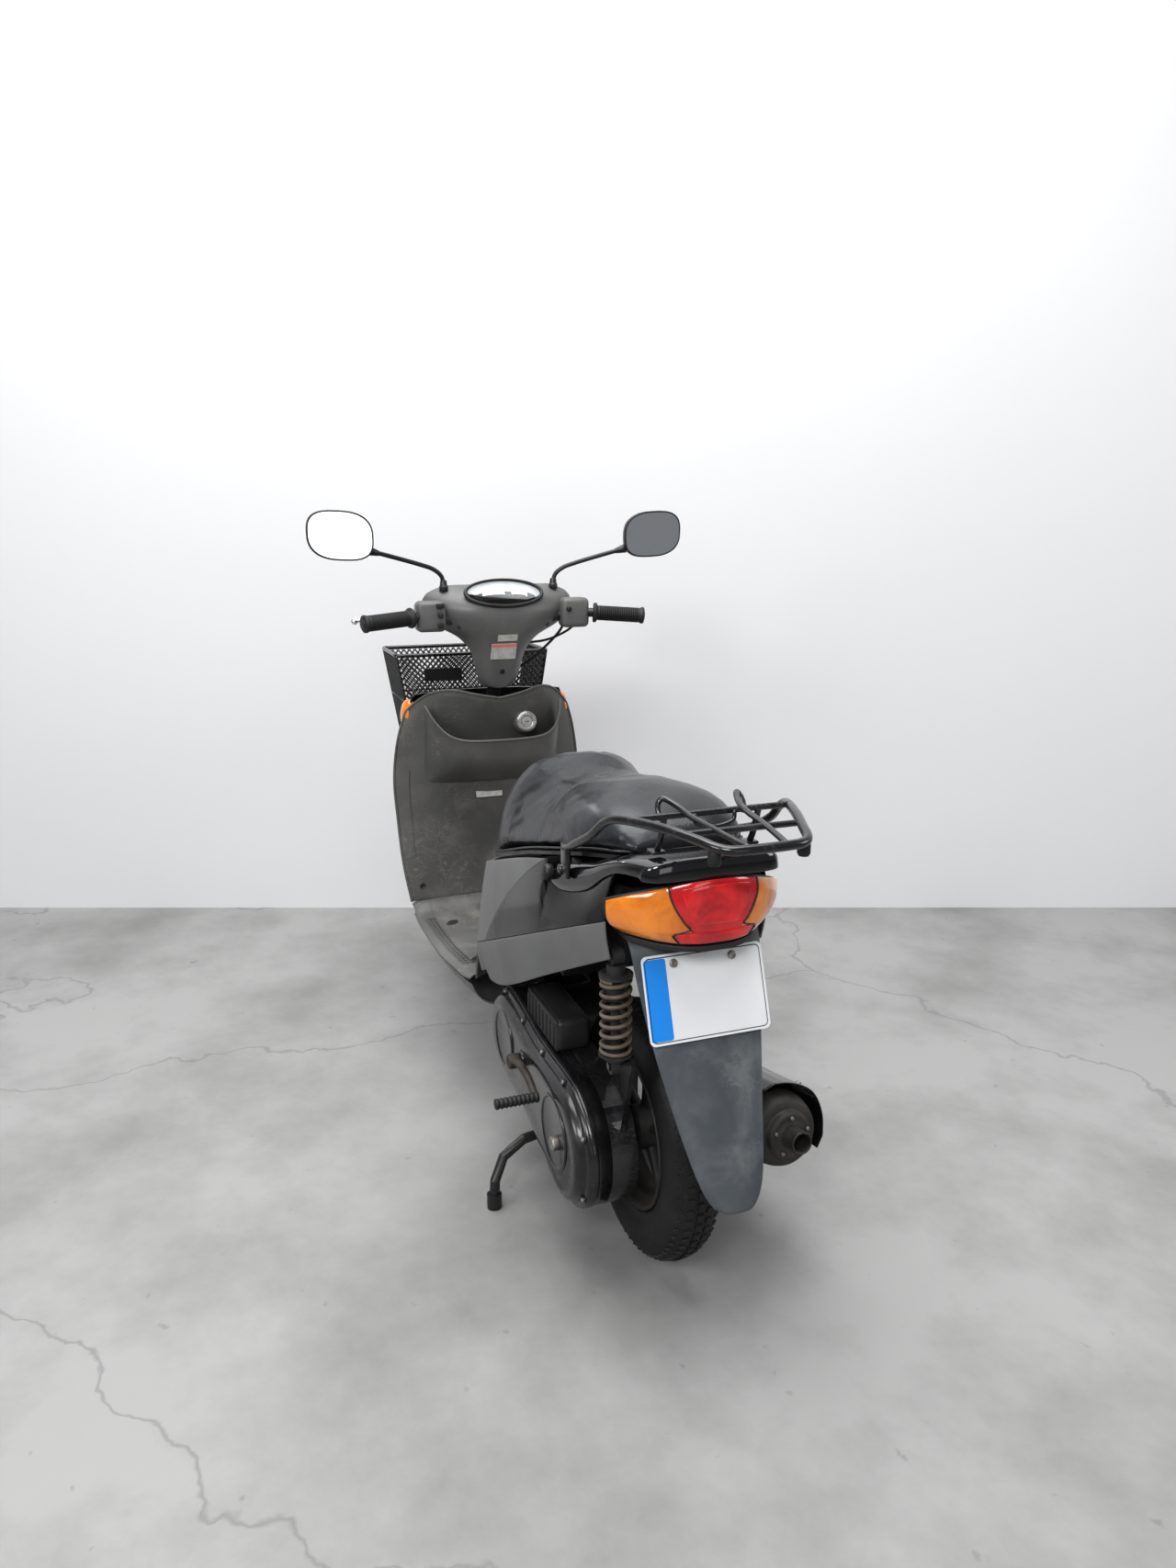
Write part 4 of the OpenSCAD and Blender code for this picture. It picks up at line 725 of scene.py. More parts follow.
# Darker, less dusty grey sheet over the inside of the pocket and the shield face above it: painted shade of the
# pocket's hollow
panel("pocketBack", lambda s, v: shieldAt(s * 0.70, 640 + v * (shieldTop(s * 0.7) - 8 - 640)) + mm(-1.4, 0, 0), "frame",
      pocketShadeAndSeamGrey, 40, 24, 0.001, (-1, 0, 0), edge=0.0004)
lockPlace = {"centre": mm(330, -62, 728), "axis": (-0.978, 0, 0.208)}
turned("lockBezel", [(0.002, 0.0125), (0.0175, 0.0125), (0.0185, 0.015), (0.0185, 0.019), (0.016, 0.0235), (0.0, 0.026),
                     (-0.004, 0.026), (0.002, 0.0125)], lockPlace["centre"], lockPlace["axis"], "frame", keyAlloy)
carryOver(keyAlloy, "ignition_key")
for i, (y, z) in enumerate(((-196, 330), (196, 330))):
    p = shieldAt(y / 233, z + 20)
    turned("shieldScrew" + str(i), [(0, 0.0065), (0.0025, 0.006), (0.003, 0.0045), (0.0015, 0.004), (0.0015, 0)],
           p - mm(1, 0, 0), (-1, 0, 0), "frame", keyBlack, 24)
seamSide = [shieldAt(0.86, 420 + 18 * k) + mm(-0.6, 0, 0) for k in range(12)]
tube("shieldSeamLeft", seamSide, 0.0011, "frame", pocketShadeAndSeamGrey, 50, 8)
tube("shieldSeamRight", [Vector((p.x, -p.y, p.z)) for p in seamSide], 0.0011, "frame", pocketShadeAndSeamGrey, 50, 8)
shieldLabelAt = shieldAt(0.06, 560)
label("shieldLabel", shieldLabelAt + mm(-0.5, 0, 0), (0, -1, 0.0), (0.28, 0, 1), 0.062, 0.020, "frame", labelPale)
print("leg shield made")


# Front cover, basket and front indicators
noseX = curveThrough((520, 636), (600, 592), (640, 545), (700, 512), (790, 470))


def nosePoint(s, v, lift=0.0):
    z = 520 + 270 * v
    side = shieldAt(1, z) * 1000
    back = side.x + 8.4
    return mm(back + (noseX(z) - back) * (1 - abs(s) ** 2.4) + lift, (side.y - 1) * s, z)


frontCoverShell = panel("frontCoverShell", nosePoint, "frame", glossBlack, 56, 32, 0.004, (1, 0, 0))
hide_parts("front_cover")


def frontLampPoint(side):
    return lambda u, v: nosePoint(side * (0.60 + 0.32 * u), 0.667 + 0.167 * v,
                                  0.5 + 9 * (math.sin(math.pi * u) * math.sin(math.pi * v)) ** 0.4)


for side, tag in ((1, "L"), (-1, "R")):
    turned("frontLampBulge" + tag, [(-0.006, 0), (-0.006, 0.024), (0.004, 0.0235), (0.010, 0.020), (0.0145, 0.012),
                                    (0.0155, 0.0)],
           shieldAt(side * 0.94, 742) + mm(26, 0, 0), (-0.25, side, 0.1), "frame", lampAmber, 40, squash=1.5)
frontLamps = bothSides(lambda side: panel("frontLamp" + ("L" if side > 0 else "R"), frontLampPoint(side), "frame",
                                          lampAmber, 20, 14, 0.003, (1, 0, 0), uSpan=(0, 1)))
basketSizes = {"low": 0.6455, "high": 0.862, "centre": 0.628, "halfX": 0.078, "halfY": 0.150, "flareX": 0.012,
               "flareY": 0.034, "lean": 0.006, "wire": 0.0050, "rim": 0.0046}


def basketCorner(t, kx, ky):
    b = basketSizes
    return Vector((b["centre"] + b["lean"] * t + (b["halfX"] + b["flareX"] * t) * kx,
                   (b["halfY"] + b["flareY"] * t) * ky,
                   b["low"] + t * (b["high"] - b["low"])))


def meshWall(name, cornerAt, across, up):
    # Expanded metal: diamond cells whose edges become flat wires
    bm = bmesh.new()
    made = {}

    def vertex(i, j):
        if (i, j) not in made:
            made[(i, j)] = bm.verts.new(cornerAt(i / (2 * across), j / (2 * up)))
        return made[(i, j)]
    for j in range(0, 2 * up + 1):
        for i in range(j % 2, 2 * across + 1, 2):
            if i < 2 * across and i + 2 <= 2 * across and 1 <= j <= 2 * up - 1:
                bm.faces.new((vertex(i, j), vertex(i + 1, j - 1), vertex(i + 2, j), vertex(i + 1, j + 1)))
    mesh = bpy.data.meshes.new(name)
    bm.to_mesh(mesh)
    bm.free()
    obj = bpy.data.objects.new(name, mesh)
    scene.collection.objects.link(obj)
    settle(obj, "frame", tubePaint)
    wire = obj.modifiers.new("wires", "WIREFRAME")
    wire.thickness = basketSizes["wire"]
    wire.use_even_offset = False
    return obj


corners = [(-1, -1), (1, -1), (1, 1), (-1, 1)]
walls = []
for i, (a, b) in enumerate(zip(corners, corners[1:] + corners[:1])):
    wide = 13 if a[1] == b[1] else 26
    walls.append(meshWall("basketWall" + str(i), lambda u, t, a=a,
                          b=b: basketCorner(t, *a).lerp(basketCorner(t, *b), u),
                          wide, 15))
walls.append(meshWall("basketFloor", lambda u, v: basketCorner(0, -1, -1).lerp(basketCorner(0, 1, -1), u).lerp(
    basketCorner(0, -1, 1).lerp(basketCorner(0, 1, 1), u), v), 14, 26))
basketNet = joined("basketNet", walls)
for level, thick in ((1.0, basketSizes["rim"]), (0.5, 0.0022), (0.0, 0.003)):
    loop = [basketCorner(level, *c) for c in corners]
    loop = [loop[i].lerp(loop[(i + 1) % 4], f) for i in range(4) for f in (0.04, 0.3, 0.7, 0.96)]
    tube("basketLoop" + str(int(level * 10)), loop + loop[:1], thick, "frame", tubePaint, 90, 10)
for i, c in enumerate(corners):
    tube("basketPost" + str(i), [basketCorner(t / 4, *c) * 1.0 for t in range(5)], 0.0026, "frame", tubePaint, 12, 8)
label("basketLabel", basketCorner(0.78, -1, 0.42) + mm(-2.2, 0, 0), (0, -1, 0), (-0.05, 0, 1), 0.090, 0.030, "frame",
      labelDark, 0.0015)
block("basketBracket", mm(549, -24, 634), mm(592, 24, 645), 0.002, "frame", tubePaint)
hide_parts("front_basket")
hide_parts("indicator_lenses")
print("front made")


# Floorboard and under cover
floorSizes = {"top": 300, "roll": 14, "ribs": 24}
floorWide = curveThrough((-40, 172), (0, 180), (120, 196), (300, 202), (392, 199))
floorHigh = curveThrough((-40, 304), (-10, 300), (300, 300), (338, 304), (352, 316.6), (392, 317.4))


def floorPoint(s, v):
    x = -40 + 432 * v
    ridge = 1.5 * math.exp(-((abs(s) - 0.86) / 0.012) ** 2) - 1.2 * math.exp(-((abs(s) - 0.80) / 0.01) ** 2)
    z = floorHigh(x) - floorSizes["roll"] * abs(s) ** 14 + min(0, ridge) + (ridge if x < 330 and ridge > 0 else 0) * 0.3
    return mm(x, floorWide(x) * s, z)


floorPanel = panel("floorPanel", floorPoint, "frame", floorGrey, 110, 44, 0.004, (0, 0, 1))
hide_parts("floor_board")
for side, tag in ((1, "L"), (-1, "R")):
    for k, y in enumerate((168, 176, 184)):
        line = [mm(x, side * (floorWide(x) - 196 + y - 4), 300.2) for x in (20, 110, 200, 290)]
        repeatAlong("floorRibs" + tag + str(k), line, "frame", floorGrey, floorSizes["ribs"], sides=4, radius=0.0036,
                    depth=0.0016, stretch=(1.2, 0.5, 1), turn=(0, 0, math.radians(45)), edge=0)
    for k, x in enumerate((30, 250)):
        turned("floorPlug" + tag + str(k), [(0.0, 0.0105), (0.0008, 0.0105), (0.0014, 0.0095), (0.0014, 0.0)],
               mm(x, side * 136, 299.6), (0, 0, 1), "frame", roughBlack, 32, squash=1.6)


def underPoint(s, v):
    x = -40 + 440 * v
    return mm(x, (floorWide(x) - 5) * s, 218.6 + 49 * abs(s) ** 6 + 9 * abs(s) ** 20)


underPanel = panel("underPanel", underPoint, "frame", skirtGrey, 48, 24, 0.003, (0, 0, -1))
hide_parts("under_cover")
print("floor made")


# Panels round the seat
sideSizes = {"bulge": 7.0, "wall": 0.0035}
bodyWide = curveThrough((-720, 118), (-600, 145), (-480, 160), (-300, 165), (-90, 168))
upperWide = curveThrough((-700, 112), (-600, 127), (-480, 143), (-300, 145), (-90, 145))
seatLow = curveThrough((-690, 716), (-600, 702), (-500, 676), (-340, 632), (-80, 548))
skirtLow = curveThrough((-700, 585), (-480, 474), (-273, 371), (-183, 340), (-90, 330))
gloveTop = curveThrough((-764, 712), (-700, 706), (-660, 690), (-600, 652), (-520, 628), (-470, 634))


def skirtTop(x):
    return 384 + (-90 - x) * 0.421


def frontPanelPoint(s, v):
    z = 305 + 240 * v
    x = curveThrough((300, -34), (400, -40), (548, -52))(z) - 42 * abs(s) ** 4
    return mm(x, curveThrough((300, 168), (400, 160), (548, 144))(z) * s, z)


seatFrontPanel = panel("seatFrontPanel", frontPanelPoint, "frame", panelGrey, 56, 28, 0.004, (1, 0, 0))
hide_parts("seat_front_panel")


def sideUpper(x):
    return seatLow(x) - 5 if x > -470 else gloveTop(x)


def sidePoint(side):
    def point(u, v):
        x = -97 - 579 * u
        low, high = skirtTop(x) + 1.2, max(skirtTop(x) + 6, sideUpper(x))
        bulge = sideSizes["bulge"] * math.sin(math.pi * v) ** 0.8 * 0.5
        wide = bodyWide(x) + (upperWide(x) - bodyWide(x)) * v ** 0.8 + bulge
        return mm(x, side * wide, low + v * (high - low))
    return point


def skirtPoint(side):
    def point(u, v):
        x = -96 - 580 * u
        low = skirtLow(x) + (12 * max(0, 1 - abs(x + 132) / 26))
        high = skirtTop(x)
        lean = 8 * math.sin(v * math.pi / 2)
        return mm(x, side * (bodyWide(x) - 8 + lean), low + v * (high - low))
    return point


def borderAt(v):
    # The curve where the pale front part meets the black tail, as a share of the panel's length
    return (64 + 300 * v ** 1.5) / 579


def foreSidePoint(side):
    whole = sidePoint(side)
    return lambda u, v: whole(u * (borderAt(v) - 0.002), v)


def tailSidePoint(side):
    whole = sidePoint(side)
    return lambda u, v: whole(borderAt(v) + 0.002 + (0.998 - borderAt(v)) * u, v)


sidePanels = bothSides(lambda side: panel("sidePanel" + ("L" if side > 0 else "R"), foreSidePoint(side), "frame",
                                          skirtGrey,
                                          40, 22, sideSizes["wall"], (0, side, 0), uSpan=(0, 1)))
bothSides(lambda side: panel("tailSidePanel" + ("L" if side > 0 else "R"), tailSidePoint(side), "frame",
                                          tailBlack, 60, 30, sideSizes["wall"], (0, side, 0), uSpan=(0, 1)))
skirtPanels = bothSides(lambda side: panel("skirtPanel" + ("L" if side > 0 else "R"), skirtPoint(side), "frame",
                                           skirtGrey,
                                           70, 12, sideSizes["wall"], (0, side, 0), uSpan=(0, 1)))
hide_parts("side_covers")
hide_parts("lower_skirts")

tailSizes = {"front": -476, "rear": -758, "lampTop": 708.5, "round": 0.42}
tailWide = curveThrough((-764, 94), (-720, 109), (-690, 116), (-600, 129), (-476, 145))
tailHigh = curveThrough((-764, 737), (-690, 729), (-600, 702), (-520, 678), (-476, 652))


def tailPoint(s, t):
    rear = tailSizes["rear"] + 20 * abs(s) ** 3
    along = min(1, t / 0.8)
    x = tailSizes["front"] + (rear - tailSizes["front"]) * along
    low, high = gloveTop(x) + 0.8, tailHigh(x)
    angle = abs(s) * math.pi / 2
    y = tailWide(x) * math.sin(angle) ** tailSizes["round"] if s else 0
    z = low + (high - low) * max(0, math.cos(angle)) ** tailSizes["round"]
    if t > 0.8:
        k = (t - 0.8) / 0.2
        x -= 6 * math.sin(k * math.pi / 2)
        z = z + (min(z, tailSizes["lampTop"]) - z) * (1 - math.cos(k * math.pi / 2))
    return mm(x, math.copysign(y, s), z)


tailShell = panel("tailShell", tailPoint, "frame", glossBlack, 96, 60, 0.0035, (0, 0, 1), edge=0.0009)
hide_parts("tail_cover")
for side, tag in ((1, "L"), (-1, "R")):
    turned("coverKnob" + tag, [(-0.004, 0.0), (-0.004, 0.012), (0.004, 0.0135), (0.009, 0.012), (0.0105, 0.009),
                               (0.0108, 0.0)],
           mm(-484, side * 146, 646), (0, side, 0.15), "frame", roughBlack, 36)
print("side panels made")


# Lamps, fender flap and plate
lampWide = curveThrough((617, 106), (632, 126), (650, 133), (680, 130), (700, 114), (709, 102))
lampSizes = {"low": 618, "high": 708, "depth": 78, "sideDrop": 40}


def colourBorder(v):
    # How far the border between red and amber moves from its mean place at a share v of the lamp's height
    return -0.02 if v < 0.2 else -0.24 + 0.30 * ((v - 0.2) / 0.8) ** 0.75



def lampPoint(cutLow, cutHigh, side=1, push=0.0):
    # The borders between the colours run in a curve
    def point(u, v):
        s0, s1 = (cutLow if abs(cutLow) == 1 else math.copysign(abs(cutLow) + colourBorder(v), cutLow),
                  cutHigh if abs(cutHigh) == 1 else math.copysign(abs(cutHigh) + colourBorder(v), cutHigh))
        s = (s0 + (s1 - s0) * u) * side
        z = lampSizes["low"] + (lampSizes["high"] - lampSizes["sideDrop"] * abs(s) ** 2.5 - lampSizes["low"]) * v
        swell = 2.2 * math.sin(math.pi * min(1, max(0, v))) ** 0.5
        return mm(-772 + lampSizes["depth"] * abs(s) ** 2.6 + push + 2.2 - swell, lampWide(z) * s, z)
    return point


redLens = panel("redLens", lampPoint(-0.50, 0.50), "frame", lampRed, 56, 24, 0.004, (-1, 0, 0), uSpan=(0, 1))
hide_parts("tail_lamp_lens")
bothSides(lambda side: panel("amberLens" + ("L" if side > 0 else "R"), lampPoint(0.515, 1, side), "frame", lampAmber,
                                     28, 24, 0.004, (-1, 0, 0), uSpan=(0, 1)))
panel("redStrip", lambda u, v: lampPoint(-0.48, 0.48, 1, -1.0)(u, 0.015 + 0.17 * v), "frame", lampDeepRed, 40, 6,
      0.0012,
      (-1, 0, 0), uSpan=(0, 1), edge=0.0005)
panel("redLensUpper", lambda u, v: lampPoint(-0.40, 0.40, 1, -0.9)(u, 0.30 + 0.62 * v), "frame", lampDeepRed, 40,
      10, 0.001,
      (-1, 0, 0), uSpan=(0, 1), edge=0.0004)
panel("lampBack", lambda u, v: lampPoint(-1, 1, 1, 10)(u, v), "frame", roughBlack, 60, 8, 0.003, (-1, 0, 0),
      uSpan=(0, 1))
for i, side in enumerate((1, -1)):
    edge = [lampPoint(0.5075, 1, side, -0.6)(0, v / 12) for v in range(13)]
    tube("lensSeam" + str(i), edge, 0.0012, "frame", roughBlack, 30, 8)

flapX = curveThrough((612, -686), (606, -702), (590, -714), (540, -730), (471, -756), (372, -801), (292, -843),
                     (262, -858))
flapWide = curveThrough((612, 100), (600, 101), (560, 97), (471, 85), (372, 67), (300, 50), (270, 36), (260, 22))


def flapPoint(s, v):
    z = 612 - 350 * v ** 0.93
    crown = 3.0 * (1 - s * s)
    return mm(flapX(z) + 8 * abs(s) ** 6 - crown, flapWide(z) * s, z - 1)


rearFlap = panel("rearFlap", flapPoint, "frame", flapBlue, 44, 60, 0.0035, (-1, 0, 0.1))
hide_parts("rear_fender")
panel("lampShelf", lambda s, v: mm(-769 + 78 * abs(s) ** 2.6 + v * 80, 104 * s, 614), "frame", roughBlack, 40, 8, 0.008,
      (0, 0, 1))
plateSizes = {"width": 0.185, "height": 0.123, "corner": 0.008, "lean": 19.5, "top": mm(-716, 0, 588)}
plateLean = math.radians(plateSizes["lean"])
plateUp = Vector((math.sin(plateLean), 0, math.cos(plateLean)))
plateOut = Vector((-math.cos(plateLean), 0, math.sin(plateLean)))
plateMiddle = plateSizes["top"] - plateUp * plateSizes["height"] / 2 + plateOut * 0.0045
plateAcross = Vector((0, -1, 0))


def onPlate(u, v, out=0.0):
    return plateMiddle + plateAcross * u + plateUp * v + plateOut * out


label("plateSheet", onPlate(0, 0), plateAcross, plateUp, plateSizes["width"], plateSizes["height"], "frame", plateWhite,
      0.0015, plateSizes["corner"])
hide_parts("number_plate")
label("plateBlueStrip", onPlate(-0.0735, 0, 0.0015), plateAcross, plateUp, 0.033, 0.112, "frame", plateBlue, 0.0003,
      0.004)
halfW, halfH, cornerR = 0.0885, 0.0575, 0.007
border = []
for sx, sy, a0 in ((1, 1, 0), (-1, 1, 90), (-1, -1, 180), (1, -1, 270)):
    for k in range(6):
        a = math.radians(a0 + 18 * k)
        border.append(onPlate(sx * (halfW - cornerR) + cornerR * math.cos(a),
                              sy * (halfH - cornerR) + cornerR * math.sin(a),
                              0.0015))
tube("plateBorder", border + border[:1], 0.0009, "frame", inkBlack, 26, 6, bend=False, flat=0.5)
for i, y in enumerate((-0.045, 0.045)):
    turned("plateScrew" + str(i), [(0.0, 0.0062), (0.0015, 0.0062), (0.0028, 0.005), (0.0032, 0.0034), (0.0018, 0.003),
                                   (0.0018, 0.0)], onPlate(y, 0.0475, 0.0015), plateOut, "frame", boltSteel, 32)
print("lamps and plate made")


# Carrier
carrierSizes = {"tube": 0.0065, "rail": 0.0042, "bar": 0.0045}
sideRun = [(-545, 141, 704), (-572, 143, 713), (-600, 145, 724), (-655, 140, 752), (-690, 134, 778), (-722, 126, 790),
           (-790, 100, 795), (-850, 76, 793), (-880, 64, 790), (-893, 50, 788), (-897, 30, 788), (-898, 0, 788)]
fullRun = [mm(*p) for p in sideRun] + [mm(p[0], -p[1], p[2]) for p in reversed(sideRun[:-1])]
carrierLoop = tube("carrierLoop", fullRun, carrierSizes["tube"], "frame", tubePaint, 150, 18)
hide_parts("rear_carrier")
innerRun = [(-716, 62, 782), (-710, 64, 792), (-704, 62, 802), (-705, 56, 808), (-716, 50, 806), (-736, 44, 801),
            (-765, 41, 796), (-820, 36, 794), (-870, 30, 791), (-893, 26, 790)]
for tag, side in (("L", 1), ("R", -1)):
    tube("carrierRail" + tag, [mm(x, side * y, z) for x, y, z in innerRun], carrierSizes["rail"], "frame",
         tubePaint, 70, 14)
    tube("carrierStay" + tag, [mm(-742, side * 70, 792), mm(-738, side * 70, 778), mm(-730, side * 70, 756),
                               mm(-722, side * 70, 742)],
         carrierSizes["bar"], "frame", tubePaint, 14, 12)
    block("carrierFoot" + tag, mm(-730, min(side * 60, side * 80), 737.5),
          mm(-708, max(side * 60, side * 80), 741.5), 0.0015,
          "frame", tubePaint)
    block("carrierTab" + tag, mm(-559, min(side * 136, side * 144), 656),
          mm(-531, max(side * 136, side * 144), 708), 0.0035,
          "frame", tubePaint)
    turned("carrierBumper" + tag, [(0, 0.0), (0, 0.0065), (0.004, 0.0085), (0.016, 0.0085), (0.022, 0.007),
                                   (0.022, 0.0)],
           mm(-876, side * 62, 765), (0, 0, 1), "frame", gripRubber, 28)
    turned("carrierBolt" + tag, [(-0.004, 0.0), (-0.004, 0.0105), (0.0, 0.0105), (0.0002, 0.008), (0.006, 0.0078),
                                 (0.0072, 0.006),
                                 (0.0072, 0.0)], mm(-545, side * 144.5, 670), (0, side, 0), "frame", tubePaint, 6)
for i, (x, z) in enumerate(((-742, 794), (-820, 791))):
    tube("carrierBar" + str(i), [mm(x, (118 if x > -780 else 86) * (1 - 0.2 * k), z) for k in range(11)],
         carrierSizes["bar"], "frame", tubePaint, 30, 12)
tube("carrierHook", [mm(-750, -30, 795), mm(-752, -26, 782), mm(-752, 0, 776), mm(-752, 26, 782),
                     mm(-750, 30, 795)], 0.003,
     "frame", tubePaint, 30, 10)
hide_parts("cover_bolts")
print("carrier made")


# Seat
seatSizes = {"half": 138, "inset": 7, "voxel": 0.0055, "pressure": 4.0, "cap": 0.012, "panGap": 7}
seatHigh = curveThrough((-690, 708), (-672, 736), (-640, 766), (-560, 783), (-450, 769), (-340, 750), (-285, 754),
                        (-235, 768), (-195, 766), (-155, 740), (-125, 694), (-100, 630), (-84, 588))
seatWide = curveThrough((-672, 0.60), (-640, 0.76), (-560, 0.91), (-450, 0.98), (-300, 1.0), (-140, 0.98), (-84, 0.93))


def makeSeat():
    rings, around, stations = [], 44, 46
    for i in range(stations + 1):
        x = -91 - 576 * i / stations
        low, high = seatLow(x) + seatSizes["panGap"], seatHigh(x) - seatSizes["inset"] * 0.6
        half = seatSizes["half"] * seatWide(x) - seatSizes["inset"]
        mid = low + 0.34 * (high - low)
        for k in range(around):
            a = 2 * math.pi * (k + 0.5) / around
            c, s = math.cos(a), math.sin(a)
            y = half * math.copysign(abs(c) ** 0.62, c)
            z = mid + (high - mid) * s ** 0.92 if s > 0 else mid - (mid - low) * abs(s) ** 0.35
            rings.append(mm(x, y, z))
    faces = ringFaces(stations + 1, around)
    obj = outward(newPiece("seatCushion", rings, faces, "seat", seatVinyl))
    remesh = obj.modifiers.new("even", "REMESH")
    remesh.mode = "VOXEL"
    remesh.voxel_size = seatSizes["voxel"]
    bake(obj)
    return obj


def bake(obj):
    bpy.context.view_layer.update()
    graph = bpy.context.evaluated_depsgraph_get()
    mesh = bpy.data.meshes.new_from_object(obj.evaluated_get(graph), depsgraph=graph)
    obj.modifiers.clear()
    obj.data = mesh
    mesh.polygons.foreach_set("use_smooth", [True] * len(mesh.polygons))


def fillWithFoam(obj):
    before = [v.co.copy() for v in obj.data.vertices]
    pinned = obj.vertex_groups.new(name="pinned")
    for v in obj.data.vertices:
        if v.co.z < (seatLow(v.co.x * 1000) + seatSizes["panGap"]) * 0.001 + 0.012:
            pinned.add([v.index], 1.0, "REPLACE")
    cloth = obj.modifiers.new("foam", "CLOTH")
    cloth.settings.use_pressure = True
    cloth.settings.uniform_pressure_force = seatSizes["pressure"]
    cloth.settings.effector_weights.gravity = 0
    cloth.settings.vertex_group_mass = "pinned"
    cloth.settings.tension_stiffness = 25
    cloth.settings.bending_stiffness = 1.5
    cloth.collision_settings.use_collision = False
    cloth.collision_settings.use_self_collision = False
    cloth.point_cache.frame_start, cloth.point_cache.frame_end = 1, 20
    for f in range(1, 21):
        scene.frame_set(f)
    graph = bpy.context.evaluated_depsgraph_get()
    after = [v.co.copy() for v in obj.evaluated_get(graph).data.vertices]
    scene.frame_set(1)
    obj.modifiers.clear()
    obj.vertex_groups.clear()
    for v, a, b in zip(obj.data.vertices, before, after):
        move = b - a
        if move.length > seatSizes["cap"]:
            move = move.normalized() * seatSizes["cap"]
        v.co = a + move
    obj.data.update()


def softSpots(obj):
    # Dents, a step between the rider's and the passenger's part, and folds that fan out from the front corners
    random.seed(4)
    dents = [(mm(-205 - 26 * k, 60 * random.uniform(-1, 1), 760), 0.012 + 0.010 * random.random(),
              0.0022 + 0.0015 * random.random()) for k in range(9)]
    dents += [(mm(-560, 40, 782), 0.016, 0.0016), (mm(-610, -50, 775), 0.02, 0.0016), (mm(-500, 70, 772), 0.02, 0.0018)]
    for v in obj.data.vertices:
        p = v.co
        top = max(0.0, min(1.0, (p.z * 1000 - seatLow(p.x * 1000) - 38) / 30))
        drop = sum(depth * math.exp(-((p - c).xy.length / wide) ** 2) for c, wide, depth in dents)
        step = 0.0042 * math.exp(-((p.x * 1000 + 392 + 26 * math.cos(p.y * 16)) / 9) ** 2)
        fold = 0.0011 * math.sin(p.x * 210 + 5 * math.sin(p.y * 22)) * math.exp(-((p.x * 1000 + 165) / 60) ** 2)
        along = math.exp(-((p.x * 1000 + 420) / 160) ** 2)
        fold += 0.0008 * math.sin(p.x * 160 + p.z * 240) * (abs(p.y) > 0.08) * along
        p.z -= top * (drop + step) - fold * 0.9
    obj.data.update()


seat = makeSeat()
softSpots(seat)
fillWithFoam(seat)
smoothSeat = seat.modifiers.new("smooth", "SUBSURF")
smoothSeat.levels = smoothSeat.render_levels = 1
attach(seat, "seat")
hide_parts("seat_cushion")
hem = [mm(x, 0, seatLow(x) + 11) + mm(0, (seatSizes["half"] * seatWide(x) - 5.5), 0) for x in range(-96, -660, -22)]
hemBack = [Vector((p.x, -p.y, p.z)) for p in reversed(hem)]
tube("seatHem", hem + [mm(-668, 52, 722), mm(-671, 0, 723), mm(-668, -52, 722)] + hemBack, 0.0021, "seat",
     seatVinyl, 190, 8)
print("seat made")


# Handlebar
carryOver(framePaint, "handlebar", "steering_stem", "main_frame")
coverWide = curveThrough((812, 22), (817, 34), (830, 44), (860, 53), (895, 64), (925, 90), (950, 134), (975, 164),
                         (1000, 168), (1022, 154), (1038, 116))
coverRear = curveThrough((812, 304), (850, 288), (900, 267), (950, 247), (985, 243), (1010, 256), (1030, 284),
                         (1038, 306))
coverSeam = curveThrough((812, 330), (870, 322), (950, 314), (1038, 316))
coverFore = curveThrough((866, 366), (900, 382), (950, 400), (1000, 392), (1026, 356), (1038, 322))
coverSizes = {"low": 812, "foreLow": 872, "high": 1037, "wall": 0.003, "roll": 3.2}
gaugeTilt = math.radians(-48)
gaugeOut = Vector((math.sin(gaugeTilt), 0, math.cos(gaugeTilt)))
gaugeAt = mm(272, 0, 1014) + gaugeOut * 0.0075
gaugeUp = Vector((math.cos(gaugeTilt), 0, -math.sin(gaugeTilt)))


def rearCoverPoint(s, v):
    z = coverSizes["low"] + (coverSizes["high"] - coverSizes["low"]) * v
    seam = coverSeam(z)
    x = seam + (coverRear(z) - seam) * (1 - abs(s) ** coverSizes["roll"])
    crease = 3.0 * math.exp(-((abs(s) - 0.62) / 0.16) ** 2) * max(0, min(1, (z - 900) / 60))
    return mm(x + crease, coverWide(z) * s, z)


def foreCoverPoint(s, v):
    z = coverSizes["foreLow"] + (coverSizes["high"] - coverSizes["foreLow"]) * v
    seam = coverSeam(z) + 0.8
    return mm(seam + (coverFore(z) - seam) * (1 - abs(s) ** coverSizes["roll"]), coverWide(z) * s, z)


rearCover = panel("rearBarCover", rearCoverPoint, "steering", coverGrey, 72, 64, coverSizes["wall"], (-1, 0, 0))
foreCover = panel("foreBarCover", foreCoverPoint, "steering", glossBlack, 72, 44, coverSizes["wall"], (1, 0, 0))
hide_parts("bar_cover_rear")
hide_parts("bar_cover_front")


def ovalRing(rx, ry, push, count=72):
    turns = [2 * math.pi * k / count for k in range(count)]
    return [gaugeAt + gaugeUp * (rx * math.cos(a)) + Vector((0, ry * math.sin(a), 0)) + gaugeOut * push for a in turns]


def ovalStack(name, levels, finish, cap=True):
    rings = [ovalRing(*level) for level in levels]
    n = len(rings[0])
    verts = [p for ring in rings for p in ring]
    faces = ringFaces(len(rings), n, cap)
    return outward(newPiece(name, verts, faces, "steering", finish))


